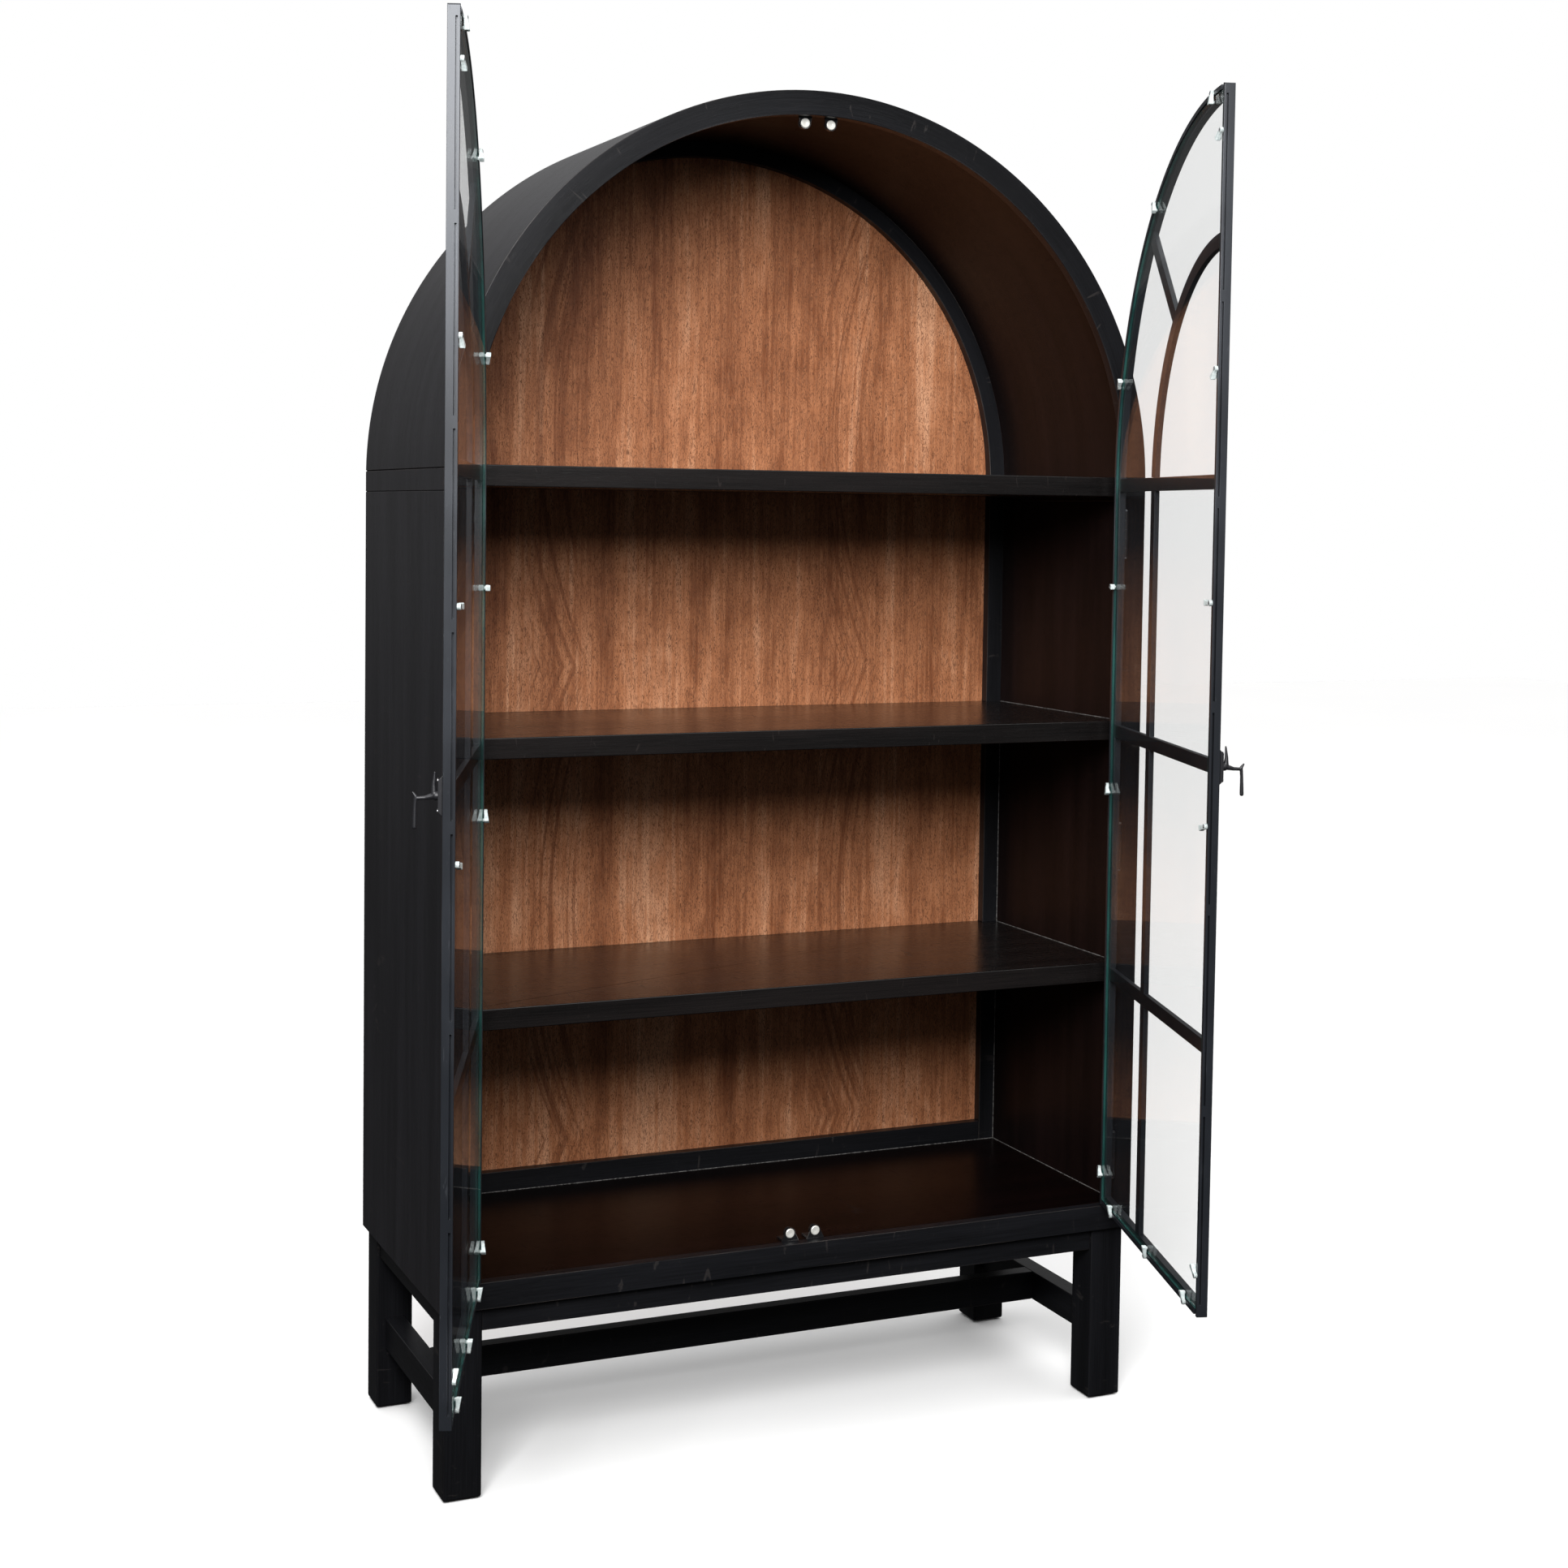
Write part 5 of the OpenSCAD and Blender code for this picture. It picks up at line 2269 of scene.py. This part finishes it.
    @staticmethod
    def limb(
        bm: bmesh.types.BMesh, x: float, path: Sequence[Point], radii: Sequence[float]
    ) -> None:
        """Adds one tapering round limb with a domed end.

        Args:
            bm: The mesh that gets the limb.
            x: The plane in which it lies.
            path: Its (y, z) points.
            radii: Its radius at each of them.
        """
        dense: list[tuple[Vector, float]] = []
        for (a, b), (ra, rb) in zip(zip(path, path[1:]), zip(radii, radii[1:])):
            for k in range(6):
                t = k / 6
                dense.append((Vector(a).lerp(Vector(b), t), ra + (rb - ra) * t))
        dense.append((Vector(path[-1]), radii[-1]))
        first, last = dense[0], dense[-1]
        into = (dense[1][0] - first[0]).normalized()
        out = (last[0] - dense[-2][0]).normalized()
        dome = [(0.35, 0.94), (0.7, 0.71), (0.92, 0.4)]
        starts = [(first[0] - into * first[1] * a, first[1] * b) for a, b in dome[::-1]]
        ends = [(last[0] + out * last[1] * a, last[1] * b) for a, b in dome]
        knots = starts + dense + ends
        turns = [2 * math.pi * k / 16 for k in range(16)]
        stations = []
        for i, (centre, radius) in enumerate(knots):
            ahead = knots[min(i + 1, len(knots) - 1)][0]
            behind = knots[max(i - 1, 0)][0]
            way = (ahead - behind).normalized()
            flank = Vector((-way.y, way.x))

            def spot(p: Point, c: Vector = centre, f: Vector = flank) -> Vector:
                """A point of the round section."""
                return Vector((x + p[0], c.x + f.x * p[1], c.y + f.y * p[1]))

            ring = [(radius * math.cos(t), radius * math.sin(t)) for t in turns]
            stations.append(Station(spot, ring, i * MM))
        sweep(bm, stations)

    @staticmethod
    def fused(bm: bmesh.types.BMesh) -> bmesh.types.BMesh:
        """Melts overlapping solids into one smooth casting.

        Args:
            bm: The overlapping solids, which are freed.

        Returns:
            One closed skin.
        """
        bmesh.ops.recalc_face_normals(bm, faces=bm.faces)
        mesh = bpy.data.meshes.new("casting")
        bm.to_mesh(mesh)
        bm.free()
        holder = bpy.data.objects.new("casting", mesh)
        bpy.context.scene.collection.objects.link(holder)
        melt = holder.modifiers.new("Melt", "REMESH")
        melt.mode, melt.voxel_size = "VOXEL", 0.55 * MM
        calm = holder.modifiers.new("Calm", "SMOOTH")
        calm.factor, calm.iterations = 0.5, 6
        shown = holder.evaluated_get(bpy.context.evaluated_depsgraph_get())
        result = bpy.data.meshes.new_from_object(shown)
        fused = bmesh.new()
        fused.from_mesh(result)
        bpy.data.objects.remove(holder)
        return fused


# ---------------------------------------------------------------------------
# Studio
# ---------------------------------------------------------------------------


@dataclass
class Studio:
    """The floor, the lights and the camera."""

    front_y: float
    yaw: float = math.radians(23.56)
    pitch: float = math.radians(-2.95)
    roll: float = math.radians(0.74)
    stand_off: tuple[float, float, float] = (-1.53524, -3.29071, 1.48834)
    lens: float = 53.35
    shift: Point = (0.0170, -0.0969)
    low_sky: float = 0.03
    far_sky: float = 0.13
    high_sky: float = 1.56
    floor_half: float = 14.0
    sensor: float = 36.0
    view_range: Point = (0.05, 60.0)
    far_rise: Point = (-0.15, 0.06)
    sky_rise: Point = (0.3, 0.9)

    def build(self) -> None:
        """Builds the whole studio."""
        self.floor()
        self.world()
        self.lights()
        self.camera()

    def floor(self) -> None:
        """Builds the pale floor."""
        bm = bmesh.new()
        half = self.floor_half
        corners = [(-half, -half), (half, -half), (half, half), (-half, half)]
        bm.faces.new([bm.verts.new((x, y, 0.0)) for x, y in corners])
        mesh = bpy.data.meshes.new("floor")
        bm.to_mesh(mesh)
        bm.free()
        work = MaterialWork("pale_floor")
        place = work.node("ShaderNodeTexCoord").outputs["Object"]
        clouds = work.noise(place, (0.6, 0.6, 0.6), 2.0)
        tone = work.mix(clouds, (0.90, 0.90, 0.90), (0.93, 0.925, 0.92))
        mesh.materials.append(work.surface({"Base Color": tone}, {"Roughness": 0.7}))
        floor = bpy.data.objects.new("floor", mesh)
        bpy.context.scene.collection.objects.link(floor)
        floor.visible_glossy = False
        floor.visible_diffuse = False

    def world(self) -> None:
        """Lights the room dimly from below and round the horizon and brightly from above, and
        shows the camera plain white.
        """
        world = bpy.data.worlds.new("studio")
        bpy.context.scene.world = world
        world.use_nodes = True
        work = MaterialWork("studio", world)
        way = work.node("ShaderNodeTexCoord").outputs["Generated"]
        height = work.signal("ShaderNodeSeparateXYZ", "Z", None, {0: way})
        seen = work.signal("ShaderNodeLightPath", "Is Camera Ray", None, None)
        horizon = height.between(*self.far_rise) * self.far_sky
        dome = self.low_sky + horizon + height.between(*self.sky_rise) * self.high_sky
        strength = dome * (1.0 - seen) + seen
        light = work.node("ShaderNodeBackground", None, {"Strength": strength})
        light.inputs["Color"].default_value = (1.0, 1.0, 1.0, 1.0)
        work.node("ShaderNodeOutputWorld", None, {"Surface": light.outputs[0]})

    def lights(self) -> None:
        """Hangs the soft boxes."""
        boxes = {
            "key": ((-1.8, -3.2, 3.0), (0.1, 0.0, 1.7), 1.8, 250.0),
            "fill": ((-0.3, -3.6, 2.7), (0.0, 0.0, 1.8), 1.2, 26.0),
        }
        for name, (at, aim, size, power) in boxes.items():
            data = bpy.data.lights.new(name, "AREA")
            data.energy, data.size = power, size
            lamp = bpy.data.objects.new(name, data)
            lamp.location = at
            way = Vector(aim) - Vector(at)
            lamp.rotation_euler = way.to_track_quat("-Z", "Y").to_euler()
            bpy.context.scene.collection.objects.link(lamp)

    def camera(self) -> None:
        """Sets the camera at the cabinet's left front."""
        ahead = Vector(
            (
                math.sin(self.yaw) * math.cos(self.pitch),
                math.cos(self.yaw) * math.cos(self.pitch),
                math.sin(self.pitch),
            )
        )
        level = Vector((math.cos(self.yaw), -math.sin(self.yaw), 0.0))
        up = level.cross(ahead)
        right = level * math.cos(self.roll) + up * math.sin(self.roll)
        above = up * math.cos(self.roll) - level * math.sin(self.roll)
        data = bpy.data.cameras.new("camera")
        data.lens, data.sensor_width = self.lens, self.sensor
        data.shift_x, data.shift_y = self.shift
        data.clip_start, data.clip_end = self.view_range
        camera = bpy.data.objects.new("camera", data)
        turn = Matrix((right, above, -ahead)).transposed().to_4x4()
        place = Vector(self.stand_off) + Vector((0.0, self.front_y, 0.0))
        camera.matrix_world = Matrix.Translation(place) @ turn
        bpy.context.scene.collection.objects.link(camera)
        bpy.context.scene.camera = camera


def main() -> None:
    """Builds the cabinet piece by piece."""
    logging.basicConfig(level=logging.INFO, format="%(name)s: %(message)s")
    sizes = Measures.from_frame()
    Studio(sizes.front_y).build()
    finishes = Finishes()
    repeater, bender = Repeater(), BarBender()
    Carcass(sizes, finishes).build()
    FaceFrame(sizes, finishes).build()
    Shelving(sizes, finishes).build()
    Back(sizes, finishes).build()
    Stand(finishes).build()
    Hardware(finishes, repeater).build()
    for side in Side:
        Door(side, sizes, finishes, repeater, bender).build()
    bpy.context.scene.view_settings.view_transform = "Standard"


if __name__ == "__main__":
    main()
